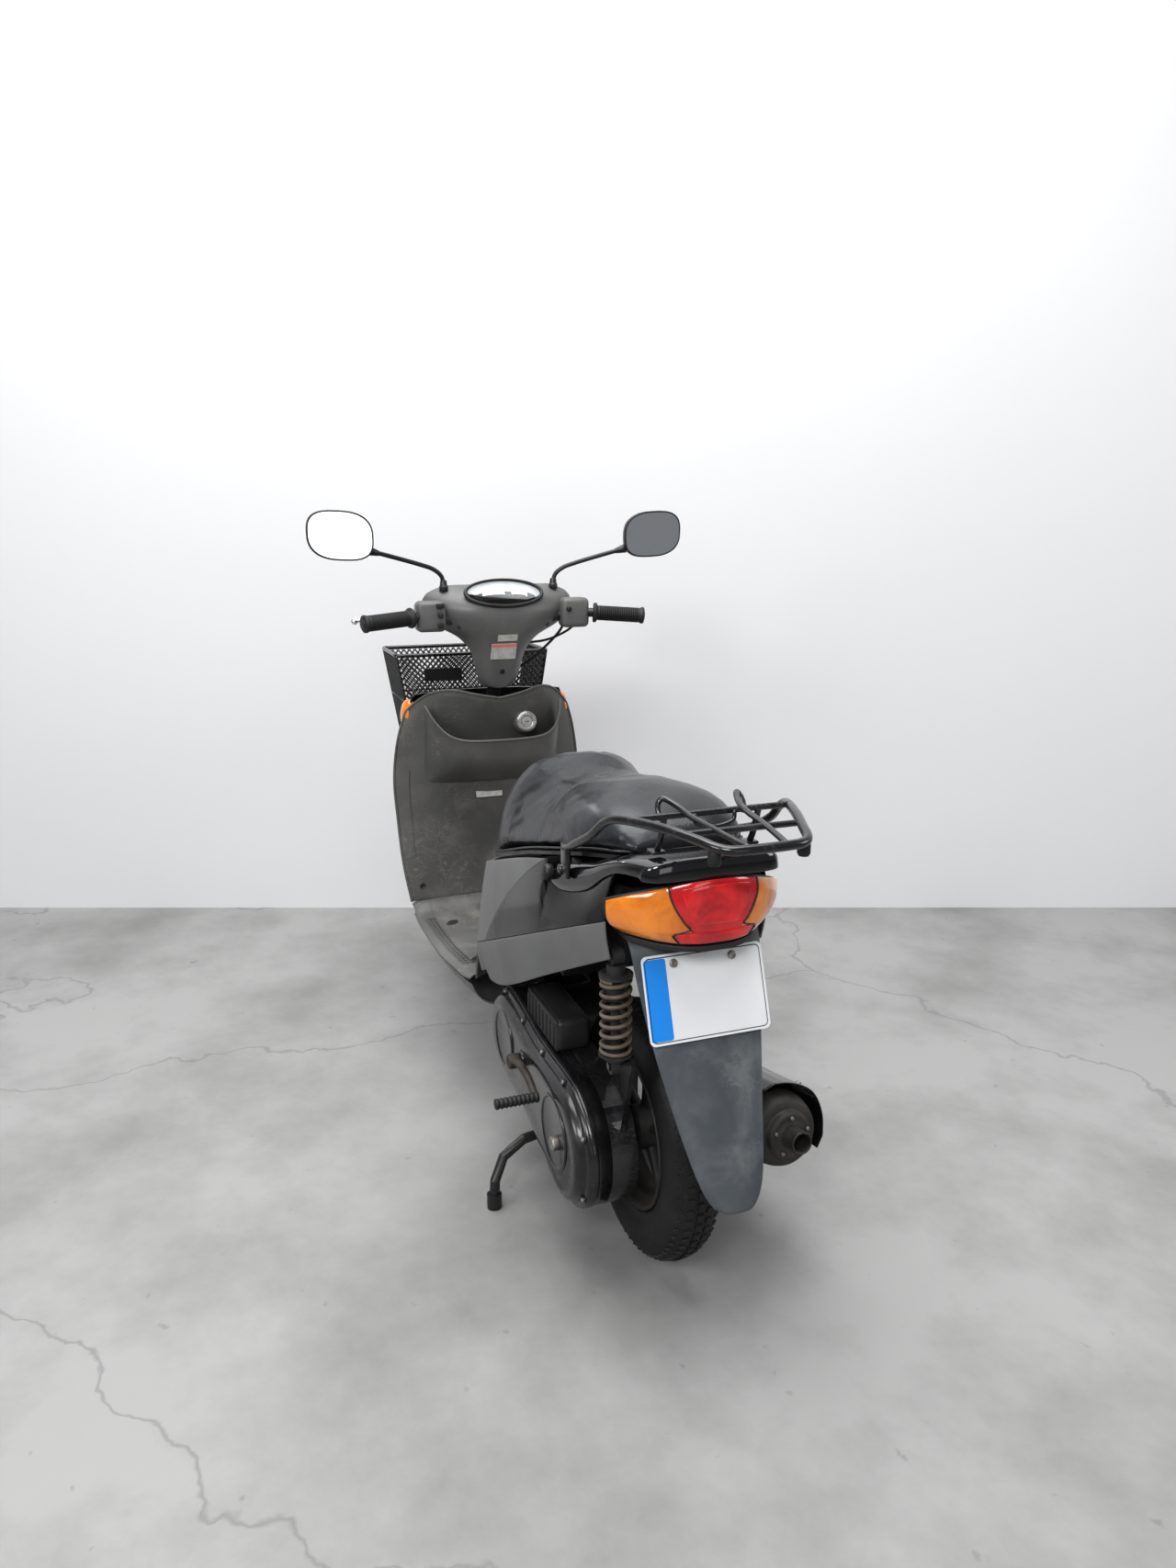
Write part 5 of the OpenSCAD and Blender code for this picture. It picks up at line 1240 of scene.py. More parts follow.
ovalStack("gaugeRim", [(0.036, 0.085, -0.004), (0.0375, 0.088, 0.003), (0.036, 0.086, 0.0075), (0.0335, 0.082, 0.0075),
                       (0.0325, 0.080, 0.003), (0.0325, 0.080, -0.004), (0.036, 0.085, -0.004)], roughBlack, cap=False)
# The gauge floor here and the dial faces below glow as painted light
ovalStack("gaugeFloor", [(0.0325, 0.080, -0.0035), (0.0325, 0.080, -0.0015)], dialGreyPaintedLit)
lensLevels = [(0.0325 * math.cos(a), 0.080 * math.cos(a), 0.0035 + 0.0065 * math.sin(a)) for a in
              (0, 0.25, 0.5, 0.8, 1.1, 1.35, 1.5)]
gaugeLens = ovalStack("gaugeLens", [(0.0325, 0.080, 0.0022)] + lensLevels, clearLens)
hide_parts("instrument_panel")
for i, (y, r) in enumerate(((0.022, 0.024), (-0.034, 0.017))):
    at = gaugeAt + Vector((0, y, 0)) - gaugeUp * 0.002
    turned("dialFace" + str(i), [(-0.0015, 0), (-0.0015, r), (0.0002, r), (0.0008, r - 0.0015), (0.0002, r - 0.003),
                                 (0.0002, 0)],
           at, gaugeOut, "steering", dialWhitePaintedLit, 48)
    ticks = [at + gaugeOut * 0.0006 + gaugeUp * (math.cos(a) * (r - 0.005)) + Vector((0, math.sin(a) * (r - 0.005), 0))
             for a in [math.radians(-130 + 20 * k) for k in range(14)]]
    repeatAlong("dialTicks" + str(i), ticks, "steering", inkBlack, 14, sides=4, radius=0.0009, depth=0.0006,
                turn=(0, gaugeTilt, 0), edge=0)
    needle = gaugeUp * math.cos(2.2) + Vector((0, math.sin(2.2), 0))
    tube("dialNeedle" + str(i), [at + gaugeOut * 0.0014, at + gaugeOut * 0.0014 + needle * (r - 0.006)], 0.0007,
         "steering",
         hornRed, 4, 6, bend=False)


def coverLabel(name, z, y, width, height, finish, lift=0.0006):
    v = (z - coverSizes["low"]) / (coverSizes["high"] - coverSizes["low"])
    s = y / coverWide(z)
    dv = 0.02
    up = rearCoverPoint(s, v + dv) - rearCoverPoint(s, v - dv)
    across = rearCoverPoint(s - 0.05, v) - rearCoverPoint(s + 0.05, v)
    across.normalize()
    up = (up - across * up.dot(across)).normalized()
    return label(name, rearCoverPoint(s, v) + across.cross(up) * 0.0006, across, up, width, height, "steering",
                 finish, lift)


coverLabel("coverLabelUpper", 927, -4, 0.044, 0.015, labelPale)
coverLabel("coverLabelLower", 897, 2, 0.056, 0.038, labelPale)
coverLabel("coverLabelLine", 910, 2, 0.054, 0.007, labelPink, 0.0009)
for side, tag in ((1, "L"), (-1, "R")):
    block("switchBox" + tag, mm(250, min(side * 128, side * 190), 944), mm(292, max(side * 128, side * 190), 1008),
          0.011,
          "steering", coverGrey, segments=4)
    turned("coverScrew" + tag, [(0.0, 0.0045), (0.0012, 0.004), (0.0004, 0.0022), (0.0004, 0)],
           rearCoverPoint(side * 0.72, 0.62) - mm(1.0, 0, 0), (-1, 0, 0), "steering", keyBlack, 24)
turned("coverLowPlug", [(0.0, 0.0060), (0.0012, 0.0052), (0.0004, 0.003), (0.0004, 0)],
       rearCoverPoint(0, 0.17) - mm(0.6, 0, 0),
       (-1, 0, -0.3), "steering", keyBlack, 24)


def keyPiece(name, node, finish, proud=0.004, radius=0.0018):
    low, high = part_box(node)
    piece = block(name, low - Vector((proud, 0, 0)), high, radius, frame["nodes"][node]["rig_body"], finish)
    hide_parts(node)
    return piece


keyPiece("dipKey", "dip_switch", keyBlack)
keyPiece("turnKey", "indicator_switch", keyBlack, 0.005)
keyPiece("hornKey", "horn_button", keyBlack, 0.003)
startLow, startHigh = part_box("starter_button")
starter = turned("startKey", [(0, 0), (0, 0.0058), (0.010, 0.0058), (0.0125, 0.0045), (0.0125, 0)],
                 Vector((startHigh.x, (startLow.y + startHigh.y) / 2, (startLow.z + startHigh.z) / 2)), (-1, 0, 0),
                 "start_key",
                 keyBlack, 32)
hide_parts("starter_button")
gripIn, gripOut = mm(262, 184, 976), mm(223, 306, 968)


def gripPiece(side, tag, body, node):
    start, end = Vector((gripIn.x, side * gripIn.y, gripIn.z)), Vector((gripOut.x, side * gripOut.y, gripOut.z))
    way = (end - start).normalized()
    length = (end - start).length
    profile = [(0.0165, 0.0), (0.0165, 0.020), (0.0195, 0.0215), (0.0235, 0.0205), (0.0255, 0.0160)]
    for k in range(22):
        a = 0.028 + (length - 0.040) * k / 22
        profile += [(a, 0.0152), (a + 0.0012, 0.0163), (a + 0.0030, 0.0163), (a + 0.0042, 0.0152)]
    profile += [(length - 0.010, 0.0160), (length - 0.0065, 0.0180), (length - 0.002, 0.0180), (length, 0.0150),
                (length, 0.0)]
    grip = turned("grip" + tag, profile, start, way, body, gripRubber, 40)
    grip.modifiers.clear()
    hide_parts(node)
    turned("barEnd" + tag, [(length - 0.001, 0.0), (length - 0.001, 0.0095), (length + 0.0015, 0.0085),
                            (length + 0.0018, 0.0)],
           start, way, body, roughBlack, 28)
    return grip


gripPiece(1, "L", "steering", "left_grip")
gripPiece(-1, "R", "throttle", "throttle_grip")


def leverPiece(side, tag, body, node):
    run = [(302, 167, 981), (306, 184, 980.5), (308, 200, 980), (304, 228, 978), (298, 256, 975.5), (291, 288, 972),
           (285, 312, 969.5)]
    blade = tube("lever" + tag, [mm(x, side * y, z) for x, y, z in run], 0.0046, body, leverAlloy, 46, 14,
                 swell=lambda t: 1.35 - 0.45 * t if t < 0.9 else 0.95 + 3.2 * (t - 0.9), flat=0.72)
    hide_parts(node)
    turned("leverBall" + tag, [(-0.0072, 0), (-0.0066, 0.003), (-0.004, 0.006), (0, 0.0072), (0.004, 0.006),
                               (0.0066, 0.003),
                               (0.0072, 0)], mm(285, side * 314, 969.3), (0, 1, 0), body, leverAlloy, 28)
    turned("leverBoss" + tag, [(0, 0), (0, 0.0075), (0.001, 0.008), (0.0105, 0.008), (0.0115, 0.0072), (0.0115, 0.0)],
           mm(302, side * 168, 974.4), (0, 0, 1), body, leverAlloy, 32)


leverPiece(1, "L", "left_lever", "brake_lever_left")
leverPiece(-1, "R", "right_lever", "brake_lever_right")
cableRun = [(304, -150, 955), (322, -143, 930), (342, -122, 900), (362, -92, 868), (380, -56, 842), (392, -24, 820),
            (405, -10, 778), (446, -2, 700), (495, 0, 602), (532, 0, 522), (543, 0, 503)]
cable = tube("brakeCable", [mm(*p) for p in cableRun], 0.0030, "steering", gripRubber, 90, 10)
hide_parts("brake_cable")
tube("throttleCable", [mm(290, -150, 966), mm(318, -176, 960), mm(336, -186, 946), mm(352, -168, 926),
                       mm(366, -130, 908),
                       mm(378, -90, 902), mm(372, -60, 906)], 0.0028, "steering", gripRubber, 60, 10)
carryOver(clearLens, "headlamp_lens")


# Mirrors
mirrorSizes = {"width": 66, "height": 49, "square": 0.72, "rim": 3.0}


def mirrorOutline(side, grow, x, count=56):
    ring = []
    for k in range(count):
        a = 2 * math.pi * k / count
        c, s = math.cos(a), math.sin(a)
        y = (mirrorSizes["width"] + grow) * math.copysign(abs(c) ** mirrorSizes["square"], c)
        z = (mirrorSizes["height"] + grow) * math.copysign(abs(s) ** mirrorSizes["square"], s) + 6.6 * c
        ring.append(mm(262 + x, side * (338 + y), 1142 + z))
    return ring


def mirrorPiece(side, tag, body, arm, headNode, stemNode):
    levels = [(-5.0, -6.5), (-2.6, -9.0), (-0.6, -9.2), (0, -6.5), (0.2, -1), (-1, 6), (-7, 15), (-17, 21.5),
              (-30, 25.5),
              (-44, 27)]
    rings = [mirrorOutline(side, grow, x) for grow, x in levels]
    n = len(rings[0])
    verts = [p for ring in rings for p in ring]
    faces = ringFaces(len(rings), n)
    shell = outward(newPiece("mirrorShell" + tag, verts, faces, body, mirrorShell))
    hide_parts(headNode)
    glass = mirrorOutline(side, -mirrorSizes["rim"], -8.2)
    back = mirrorOutline(side, -mirrorSizes["rim"], -6.0)
    verts = glass + back
    faces = ringFaces(2, n)
    outward(newPiece("mirrorGlass" + tag, verts, faces, body, mirrorGlass, smooth=False))
    run = [(300, 122, 1036), (299, 126, 1056), (295, 143, 1071), (290, 170, 1081), (281, 226, 1097), (272, 282, 1112)]
    stem = tube("mirrorStem" + tag, [mm(x, side * y, z) for x, y, z in run], 0.0047, arm, mirrorShell, 46, 14)
    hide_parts(stemNode)
    turned("mirrorNut" + tag, [(0, 0), (0, 0.0095), (0.010, 0.0095), (0.011, 0.008), (0.022, 0.0066), (0.024, 0.0)],
           mm(300, side * 122, 1026), (0, 0, 1), arm, mirrorShell, 6 * 4)
    turned("mirrorBoot" + tag, [(-0.004, 0.0), (-0.004, 0.0052), (0.006, 0.0072), (0.018, 0.0095), (0.024, 0.0085),
                                (0.026, 0.0)],
           mm(277, side * 262, 1106.5), (mm(272, side * 282, 1112) - mm(281, side * 226, 1097)), arm, mirrorShell, 28)


mirrorPiece(1, "L", "mirror_left", "mirror_arm_left", "mirror_head_left", "mirror_stem_left")
mirrorPiece(-1, "R", "mirror_right", "mirror_arm_right", "mirror_head_right", "mirror_stem_right")
print("handlebar and mirrors made")


# Wheels
wheelSizes = {"tyre": 208, "bead": 127.3, "half": 45, "grooves": 64, "spokes": 5}
frontAxle, rearAxle = mm(690, 0, 208), mm(-540, 0, 214)


def wheelPieces(tag, axle, body, tyreNode, rimNode):
    profile = []
    for k in range(33):
        a = -math.pi * 0.5 + math.pi * k / 32
        y = 44.2 * math.copysign(abs(math.sin(a)) ** 0.86, math.sin(a))
        r = 158 + 46.4 * math.copysign(abs(math.cos(a)) ** 0.78, math.cos(a))
        profile.append((y / 1000, r / 1000))
    profile = [(-0.0300, 0.1274), (-0.0335, 0.134), (-0.0372, 0.143), (-0.0366, 0.1445)] + profile + \
              [(0.0366, 0.1445), (0.0372, 0.143), (0.0335, 0.134), (0.0300, 0.1274), (-0.0300, 0.1274)]
    tyre = turned("tyre" + tag, profile, axle, (0, 1, 0), body, tyreRubber, 128)
    tyre.modifiers.clear()
    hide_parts(tyreNode)
    for row, (y, tilt, stretch, r) in enumerate(((0, 0, (3.4, 1.0, 1), 0.2052), (15.5, 0.5, (2.6, 1.1, 1), 0.2030),
                                                 (-15.5, -0.5, (2.6, 1.1, 1), 0.2030),
                                (29.5, 0.75, (2.5, 0.9, 1), 0.1960), (-29.5, -0.75, (2.5, 0.9, 1), 0.1960)), 1):
        shift = 0 if y == 0 else math.pi / wheelSizes["grooves"]
        ring = [axle + Vector((r * math.cos(shift + 2 * math.pi * k / wheelSizes["grooves"]), y / 1000,
                               r * math.sin(shift + 2 * math.pi * k / wheelSizes["grooves"])))
                for k in range(wheelSizes["grooves"] + 1)]
        bm = bmesh.new()
        for k in range(wheelSizes["grooves"]):
            out = (ring[k] - axle - Vector((0, y / 1000, 0))).normalized()
            out = (out + Vector((0, y / 75, 0))).normalized()
            along = out.cross(Vector((0, 1, 0))).normalized()
            across = out.cross(along)
            along, across = (along * math.cos(tilt * 0.6) + across * math.sin(tilt * 0.6),
                             across * math.cos(tilt * 0.6) - along * math.sin(tilt * 0.6))
            w, h = 0.0019 * stretch[0], 0.0052 * stretch[1]
            corners = [ring[k] + along * (sx * w) + across * (sy * h) + out * lift
                       for lift in (-0.002, 0.0024 - abs(y) * 0.00002) for sx,
                       sy in ((-1, -1), (1, -1), (1, 1), (-1, 1))]
            vs = [bm.verts.new(c) for c in corners]
            for face in ((0, 1, 2, 3), (4, 5, 6, 7), (0, 1, 5, 4), (1, 2, 6, 5), (2, 3, 7, 6), (3, 0, 4, 7)):
                bm.faces.new([vs[i] for i in face])
        bmesh.ops.recalc_face_normals(bm, faces=bm.faces)
        mesh = bpy.data.meshes.new("tread" + tag)
        bm.to_mesh(mesh)
        bm.free()
        obj = bpy.data.objects.new("tread" + tag + str(row), mesh)
        scene.collection.objects.link(obj)
        settle(obj, body, tyreRubber, smooth=False)
        roundEdges(obj, 0.0007, 2, 40)
    rim = [(-0.031, 0.1268), (-0.034, 0.1262), (-0.034, 0.122), (-0.028, 0.1185), (-0.020, 0.108), (-0.016, 0.104),
           (0.016, 0.104), (0.020, 0.108), (0.028, 0.1185), (0.034, 0.122), (0.034, 0.1262), (0.031, 0.1268),
           (-0.031, 0.1268)]
    hoop = turned("rimHoop" + tag, rim, axle, (0, 1, 0), body, castDark, 96)
    hoop.modifiers.clear()
    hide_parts(rimNode)
    turned("rimHub" + tag, [(-0.030, 0), (-0.030, 0.030), (-0.024, 0.036), (0.024, 0.036), (0.030, 0.030),
                            (0.030, 0)], axle,
           (0, 1, 0), body, castDark, 56)
    for k in range(wheelSizes["spokes"]):
        a = 2 * math.pi * k / wheelSizes["spokes"] + 0.3
        out = Vector((math.cos(a), 0, math.sin(a)))
        tube("rimSpoke" + tag + str(k), [axle + out * 0.030, axle + out * 0.070, axle + out * 0.1055], 0.012, body,
             castDark, 10, 16,
             swell=lambda t: 1.0 - 0.25 * math.sin(math.pi * t), flat=0.72)


wheelPieces("Front", frontAxle, "front_wheel", "front_tyre", "front_rim")
wheelPieces("Rear", rearAxle, "rear_wheel", "rear_tyre", "rear_rim")
carryOver(leverAlloy, "brake_disc")
carryOver(forkAlloy, "fork_slider")
carryOver(panelGrey, "front_fender")
carryOver(framePaint, "fuel_tank", "battery", "helmet_box", "seat_pan", "centre_stand")
carryOver(pulleySteel, "drive_pulley", "driven_pulley")
carryOver(casePaint, "engine_case")
carryOver(castDark, "shock_absorber", "shock_rod")
print("wheels made")


# Engine, belt case and kick
caseSizes = {"bolts": 11, "bandInset": 5.2, "waist": 9, "around": 180}
crank, axleSpot = (-215, 250, 84), (-540, 214, 103)


def beltOutline(inset, count=30):
    (x1, z1, r1), (x2, z2, r2) = crank, axleSpot
    dx, dz = x1 - x2, z1 - z2
    away, tilt = math.hypot(dx, dz), math.atan2(dz, dx)
    lean = math.acos((r2 - r1) / away)
    ring = [(x1 + (r1 - inset) * math.cos(tilt - lean + 2 * lean * k / count),
             z1 + (r1 - inset) * math.sin(tilt - lean + 2 * lean * k / count))
            for k in range(count + 1)]
    back = 2 * math.pi - 2 * lean
    ring += [(x2 + (r2 - inset) * math.cos(tilt + lean + back * k / count),
              z2 + (r2 - inset) * math.sin(tilt + lean + back * k / count))
             for k in range(count + 1)]
    return ring


def waisted(ring, depth):
    # The long sides draw in a little between the two round ends
    full = []
    for (x, z), (x2, z2) in zip(ring, ring[1:] + ring[:1]):
        steps = max(1, int(math.hypot(x2 - x, z2 - z) / 10))
        for k in range(steps):
            t = k / steps
            px, pz = x + (x2 - x) * t, z + (z2 - z) * t
            if steps > 6:
                pull = depth * math.sin(math.pi * t) ** 2
                pz += -pull if pz > 232 else pull  # towards the line between the two shafts
            full.append((px, pz))
    return full


def stack(name, levels, body, finish):
    n = caseSizes["around"]
    rings = [resampleRing([mm(x, y, z) for x, z in waisted(beltOutline(inset), caseSizes["waist"])], n) for y,
             inset in levels]
    verts = [p for r in rings for p in r]
    faces = ringFaces(len(rings), n)
    return outward(newPiece(name, verts, faces, body, finish))


def resampleRing(ring, count):
    total, marks = 0, [0]
    for a, b in zip(ring, ring[1:] + ring[:1]):
        total += (b - a).length
        marks.append(total)
    out, j = [], 0
    for k in range(count):
        d = total * k / count
        while marks[j + 1] < d:
            j += 1
        a, b = ring[j], ring[(j + 1) % len(ring)]
        out.append(a + (b - a) * ((d - marks[j]) / max(1e-9, marks[j + 1] - marks[j])))
    return out


belt = stack("beltCase", [(100.4, 0), (132, 0), (137, 1.5), (139, 5), (139, 9.5), (141, 10), (147, 12), (152, 16.5),
                          (154.5, 23),
                          (155, 34), (153.6, 46), (153.4, 60)], "engine", casePaint)
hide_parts("cvt_cover")
stack("beltBand", [(121, -0.4), (122, -1.6), (131, -1.6), (132, -0.4)], "engine", casePaint)
boltSpots = resampleRing([mm(x, 139, z) for x, z in waisted(beltOutline(caseSizes["bandInset"]), caseSizes["waist"])],
                         caseSizes["bolts"])
for i, p in enumerate(boltSpots):
    turned("caseBoltPad" + str(i), [(0, 0.0075), (0.0018, 0.0070), (0.0018, 0)], p - mm(0, 1, 0), (0, 1, 0),
           "engine", casePaint, 24)
    turned("caseBolt" + str(i), [(0, 0.0042), (0.0032, 0.0042), (0.0040, 0.0034), (0.0040, 0.002), (0.0026, 0.002),
                                 (0.0026, 0)],
           p + mm(0, 0.8, 0), (0, 1, 0), "engine", boltSteel, 18)
for i, (x, z, r) in enumerate(((-232, 250, 56), (-520, 222, 62))):
    turned("caseRing" + str(i), [(0, r / 1000), (0.0028, (r - 2) / 1000), (0.0028, (r - 5) / 1000),
                                 (0.0004, (r - 7) / 1000), (0.0004, 0)],
           mm(x, 153.6, z), (0, 1, 0), "engine", casePaint, 72)
turned("kickBoss", [(0, 0.0175), (0.0035, 0.0155), (0.0042, 0.0100), (0.0042, 0)], mm(-345, 154.6, 262), (0, 1, 0),
       "engine", casePaint, 40)
turned("cylinderHead", [(0, 0.040), (0.030, 0.040), (0.034, 0.050), (0.138, 0.046), (0.146, 0.030), (0.146, 0)],
       mm(-215, 0, 250), (0.978, 0, 0.213), "engine", castDark, 48)
for k in range(9):
    turned("cylinderFin" + str(k), [(0, 0.042), (0, 0.0535), (0.0026, 0.0535), (0.0026, 0.042)],
           mm(-215 + 44 + 8.6 * k, 0, 250 + 9.6 + 1.87 * k), (0.978, 0, 0.213), "engine", castDark, 48)
airLow, airHigh = mm(-455, 66, 320), mm(-291, 127, 377)
airBox = block("airBox", airLow, airHigh, 0.011, "engine", roughBlack)
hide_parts("air_cleaner")
for k in range(8):
    x = -444 + 19.5 * k
    block("airRib" + str(k), mm(x, 124, 330), mm(x + 7, 129.4, 368), 0.0022, "engine", roughBlack)
block("airLid", mm(-452, 120, 322), mm(-294, 126.5, 375), 0.004, "engine", roughBlack)
kickAt = mm(-345, 169, 262)
hub = turned("kickHub", [(-0.0095, 0.0), (-0.0095, 0.0125), (-0.008, 0.013), (0.008, 0.013), (0.010, 0.0115),
                         (0.010, 0.006),
                         (0.0085, 0.005), (0.0085, 0)], kickAt, (0, 1, 0), "kick", kickSteel, 36)
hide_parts("kick_lever")
arm = [kickAt + mm(*p) for p in ((0, 0, 0), (-30, 2, 14), (-62, 4, 21), (-92, 4, 21), (-120, 4, 15), (-139, 4, 7))]
tube("kickArm", arm, 0.0066, "kick", kickSteel, 40, 16, swell=lambda t: 1.25 - 0.35 * t, flat=0.8)
pegProfile = [(0, 0), (0, 0.0075), (0.002, 0.0088)]
for k in range(9):
    pegProfile += [(0.005 + 0.0072 * k, 0.0088), (0.0065 + 0.0072 * k, 0.0074), (0.0085 + 0.0072 * k, 0.0074),
                   (0.010 + 0.0072 * k, 0.0088)]
pegProfile += [(0.0715, 0.0088), (0.0725, 0.0075), (0.0725, 0)]
turned("kickPeg", pegProfile, mm(-485, 168, 268), (0, 1, 0), "kick", gripRubber, 28).modifiers.clear()
turned("rearHubNut", [(0, 0.012), (0.010, 0.012), (0.012, 0.010), (0.012, 0)], mm(-540, 153.8, 214), (0, 1, 0),
       "engine", boltSteel, 6)
print("engine made")


# Muffler and shock
pipeStart, pipeWay = mm(-330, -150, 196), Vector((-0.987, -0.0427, 0.1547)).normalized()
can = [(-0.030, 0.0), (-0.030, 0.013), (-0.026, 0.032), (-0.018, 0.044), (-0.006, 0.0545), (0.006, 0.0575),
       (0.028, 0.0575),
       (0.030, 0.059), (0.036, 0.059), (0.038, 0.0575), (0.330, 0.0575), (0.332, 0.0592), (0.346, 0.0592),
       (0.348, 0.0575),
       (0.358, 0.0565), (0.367, 0.0530), (0.3725, 0.0480), (0.3735, 0.0400), (0.3740, 0.0385), (0.381, 0.0375),
       (0.3868, 0.0350),
       (0.3872, 0.0300), (0.3860, 0.0230), (0.3872, 0.0220), (0.3872, 0)]
muffler = turned("mufflerCan", can, pipeStart, pipeWay, "engine", mufflerBlack, 96)
muffler.modifiers.clear()
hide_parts("muffler")
turned("mufflerTip", [(0.385, 0.0140), (0.385, 0.0190), (0.392, 0.0176), (0.4145, 0.0176), (0.4162, 0.0166),
                      (0.4162, 0.0148),
                      (0.4140, 0.0140), (0.385, 0.0140)], pipeStart, pipeWay, "engine", mufflerBlack, 40)
turned("mufflerBore", [(0.388, 0.0), (0.388, 0.0139), (0.3884, 0.0139), (0.3884, 0)], pipeStart, pipeWay, "engine",
       inkBlack, 32)
for k in range(5):
    a = math.radians(72 * k + 20)
    side = pipeWay.cross(Vector((0, 0, 1))).normalized()
    over = side.cross(pipeWay)
    at = pipeStart + pipeWay * 0.3868 + (side * math.cos(a) + over * math.sin(a)) * 0.029
    turned("mufflerBolt" + str(k), [(0, 0.0034), (0.0026, 0.0034), (0.0032, 0.0026), (0.0032, 0)], at, pipeWay,
           "engine", boltSteel, 6)
pipeRun = [(-296, -150, 192), (-250, -142, 186), (-180, -120, 176), (-120, -76, 178), (-98, -30, 186),
           (-92, 0, 204), (-92, 0, 219)]
tube("exhaustPipe", [mm(*p) for p in pipeRun], 0.0128, "engine", mufflerBlack, 60, 20)


def guardPoint(s, v):
    side = pipeWay.cross(Vector((0, 0, 1))).normalized()
    over = side.cross(pipeWay)
    a = math.radians(40 + 74 * s)
    t = 0.06 + 0.30 * v
    swell = 0.0022 * math.exp(-((s * 74 / 18) ** 2)) + 0.0016 * math.exp(-(((abs(s) - 0.78) / 0.08) ** 2))
    r = 0.0655 + 0.010 * v * v + swell
    outSide = side if side.y < 0 else -side
    return pipeStart + pipeWay * t + (outSide * math.cos(a) + over * math.sin(a)) * r


guard = panel("mufflerGuard", guardPoint, "engine", guardBlack, 60, 40, 0.0018, (0, -0.7, 0.7))
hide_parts("muffler_shield")
for i, v in enumerate((0.12, 0.88)):
    turned("guardBolt" + str(i), [(0, 0.0062), (0.0012, 0.0058), (0.0012, 0.0040), (0.0042, 0.0040),
                                  (0.0048, 0.003), (0.0048, 0)],
           guardPoint(0.05, v), (guardPoint(0.05, v) - (pipeStart + pipeWay * (0.06 + 0.30 * v))), "engine",
           boltSteel, 24)
coil = []
turns, coilLow, coilHigh = 7, 425.2, 536.8
for k in range(361):
    t = k / 360
    flat = min(1, max(0, (t - 0.07) / 0.86))
    a = 2 * math.pi * (turns + 1.4) * t
    coil.append(mm(-660 + 21 * math.cos(a), 104 + 21 * math.sin(a), coilLow + (coilHigh - coilLow) * flat))
spring = tube("coilSpring", coil, 0.0031, "shock_upper", springBrown, 361, 12, bend=False)
springMesh = spring.data.copy()
bpy.data.objects.remove(spring)
spring = bpy.data.objects.new("coilSpring", springMesh)
scene.collection.objects.link(spring)
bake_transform(spring)
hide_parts("shock_spring")
print("muffler and shock made")


# Stage
stageSizes = {"floorEdge": 3.224, "wide": 14, "wallHigh": 7}
ahead = Vector((0.9396, -0.3423, 0))
aside = Vector((-0.3423, -0.9396, 0))
foot = Vector((cameraPlace["eye"][0], cameraPlace["eye"][1], 0)) + ahead * stageSizes["floorEdge"]


def makeStageFinish(name, base, rough, dark, mottle):
    mat = bpy.data.materials.new(name)
    mat.use_nodes = True
    tree = mat.node_tree
    tree.nodes.clear()
    out = tree.nodes.new("ShaderNodeOutputMaterial")
    shader = tree.nodes.new("ShaderNodeBsdfPrincipled")
    place = tree.nodes.new("ShaderNodeTexCoord")
    noise = tree.nodes.new("ShaderNodeTexNoise")
    noise.inputs["Scale"].default_value = mottle
    noise.inputs["Detail"].default_value = 8
    noise.inputs["Roughness"].default_value = 0.65
    tree.links.new(place.outputs["Object"], noise.inputs["Vector"])
    mix = tree.nodes.new("ShaderNodeMix")
    mix.data_type = "RGBA"
    mix.inputs["A"].default_value = (*base, 1)
    mix.inputs["B"].default_value = (*dark, 1)
    ramp = tree.nodes.new("ShaderNodeMapRange")
    ramp.inputs["From Min"].default_value = 0.42
    ramp.inputs["From Max"].default_value = 0.68
    tree.links.new(noise.outputs["Fac"], ramp.inputs["Value"])
    tree.links.new(ramp.outputs["Result"], mix.inputs["Factor"])
    tree.links.new(mix.outputs["Result"], shader.inputs["Base Color"])
    shader.inputs["Roughness"].default_value = rough
    shader.inputs["Specular IOR Level"].default_value = 0.25
    return mat, tree, shader, out


floorMat, floorTree, floorShader, floorOut = makeStageFinish("stageFloor", (0.33, 0.33, 0.325), 0.5,
                                                             (0.215, 0.215, 0.21), 1.7)
floorTree.links.new(floorShader.outputs["BSDF"], floorOut.inputs["Surface"])


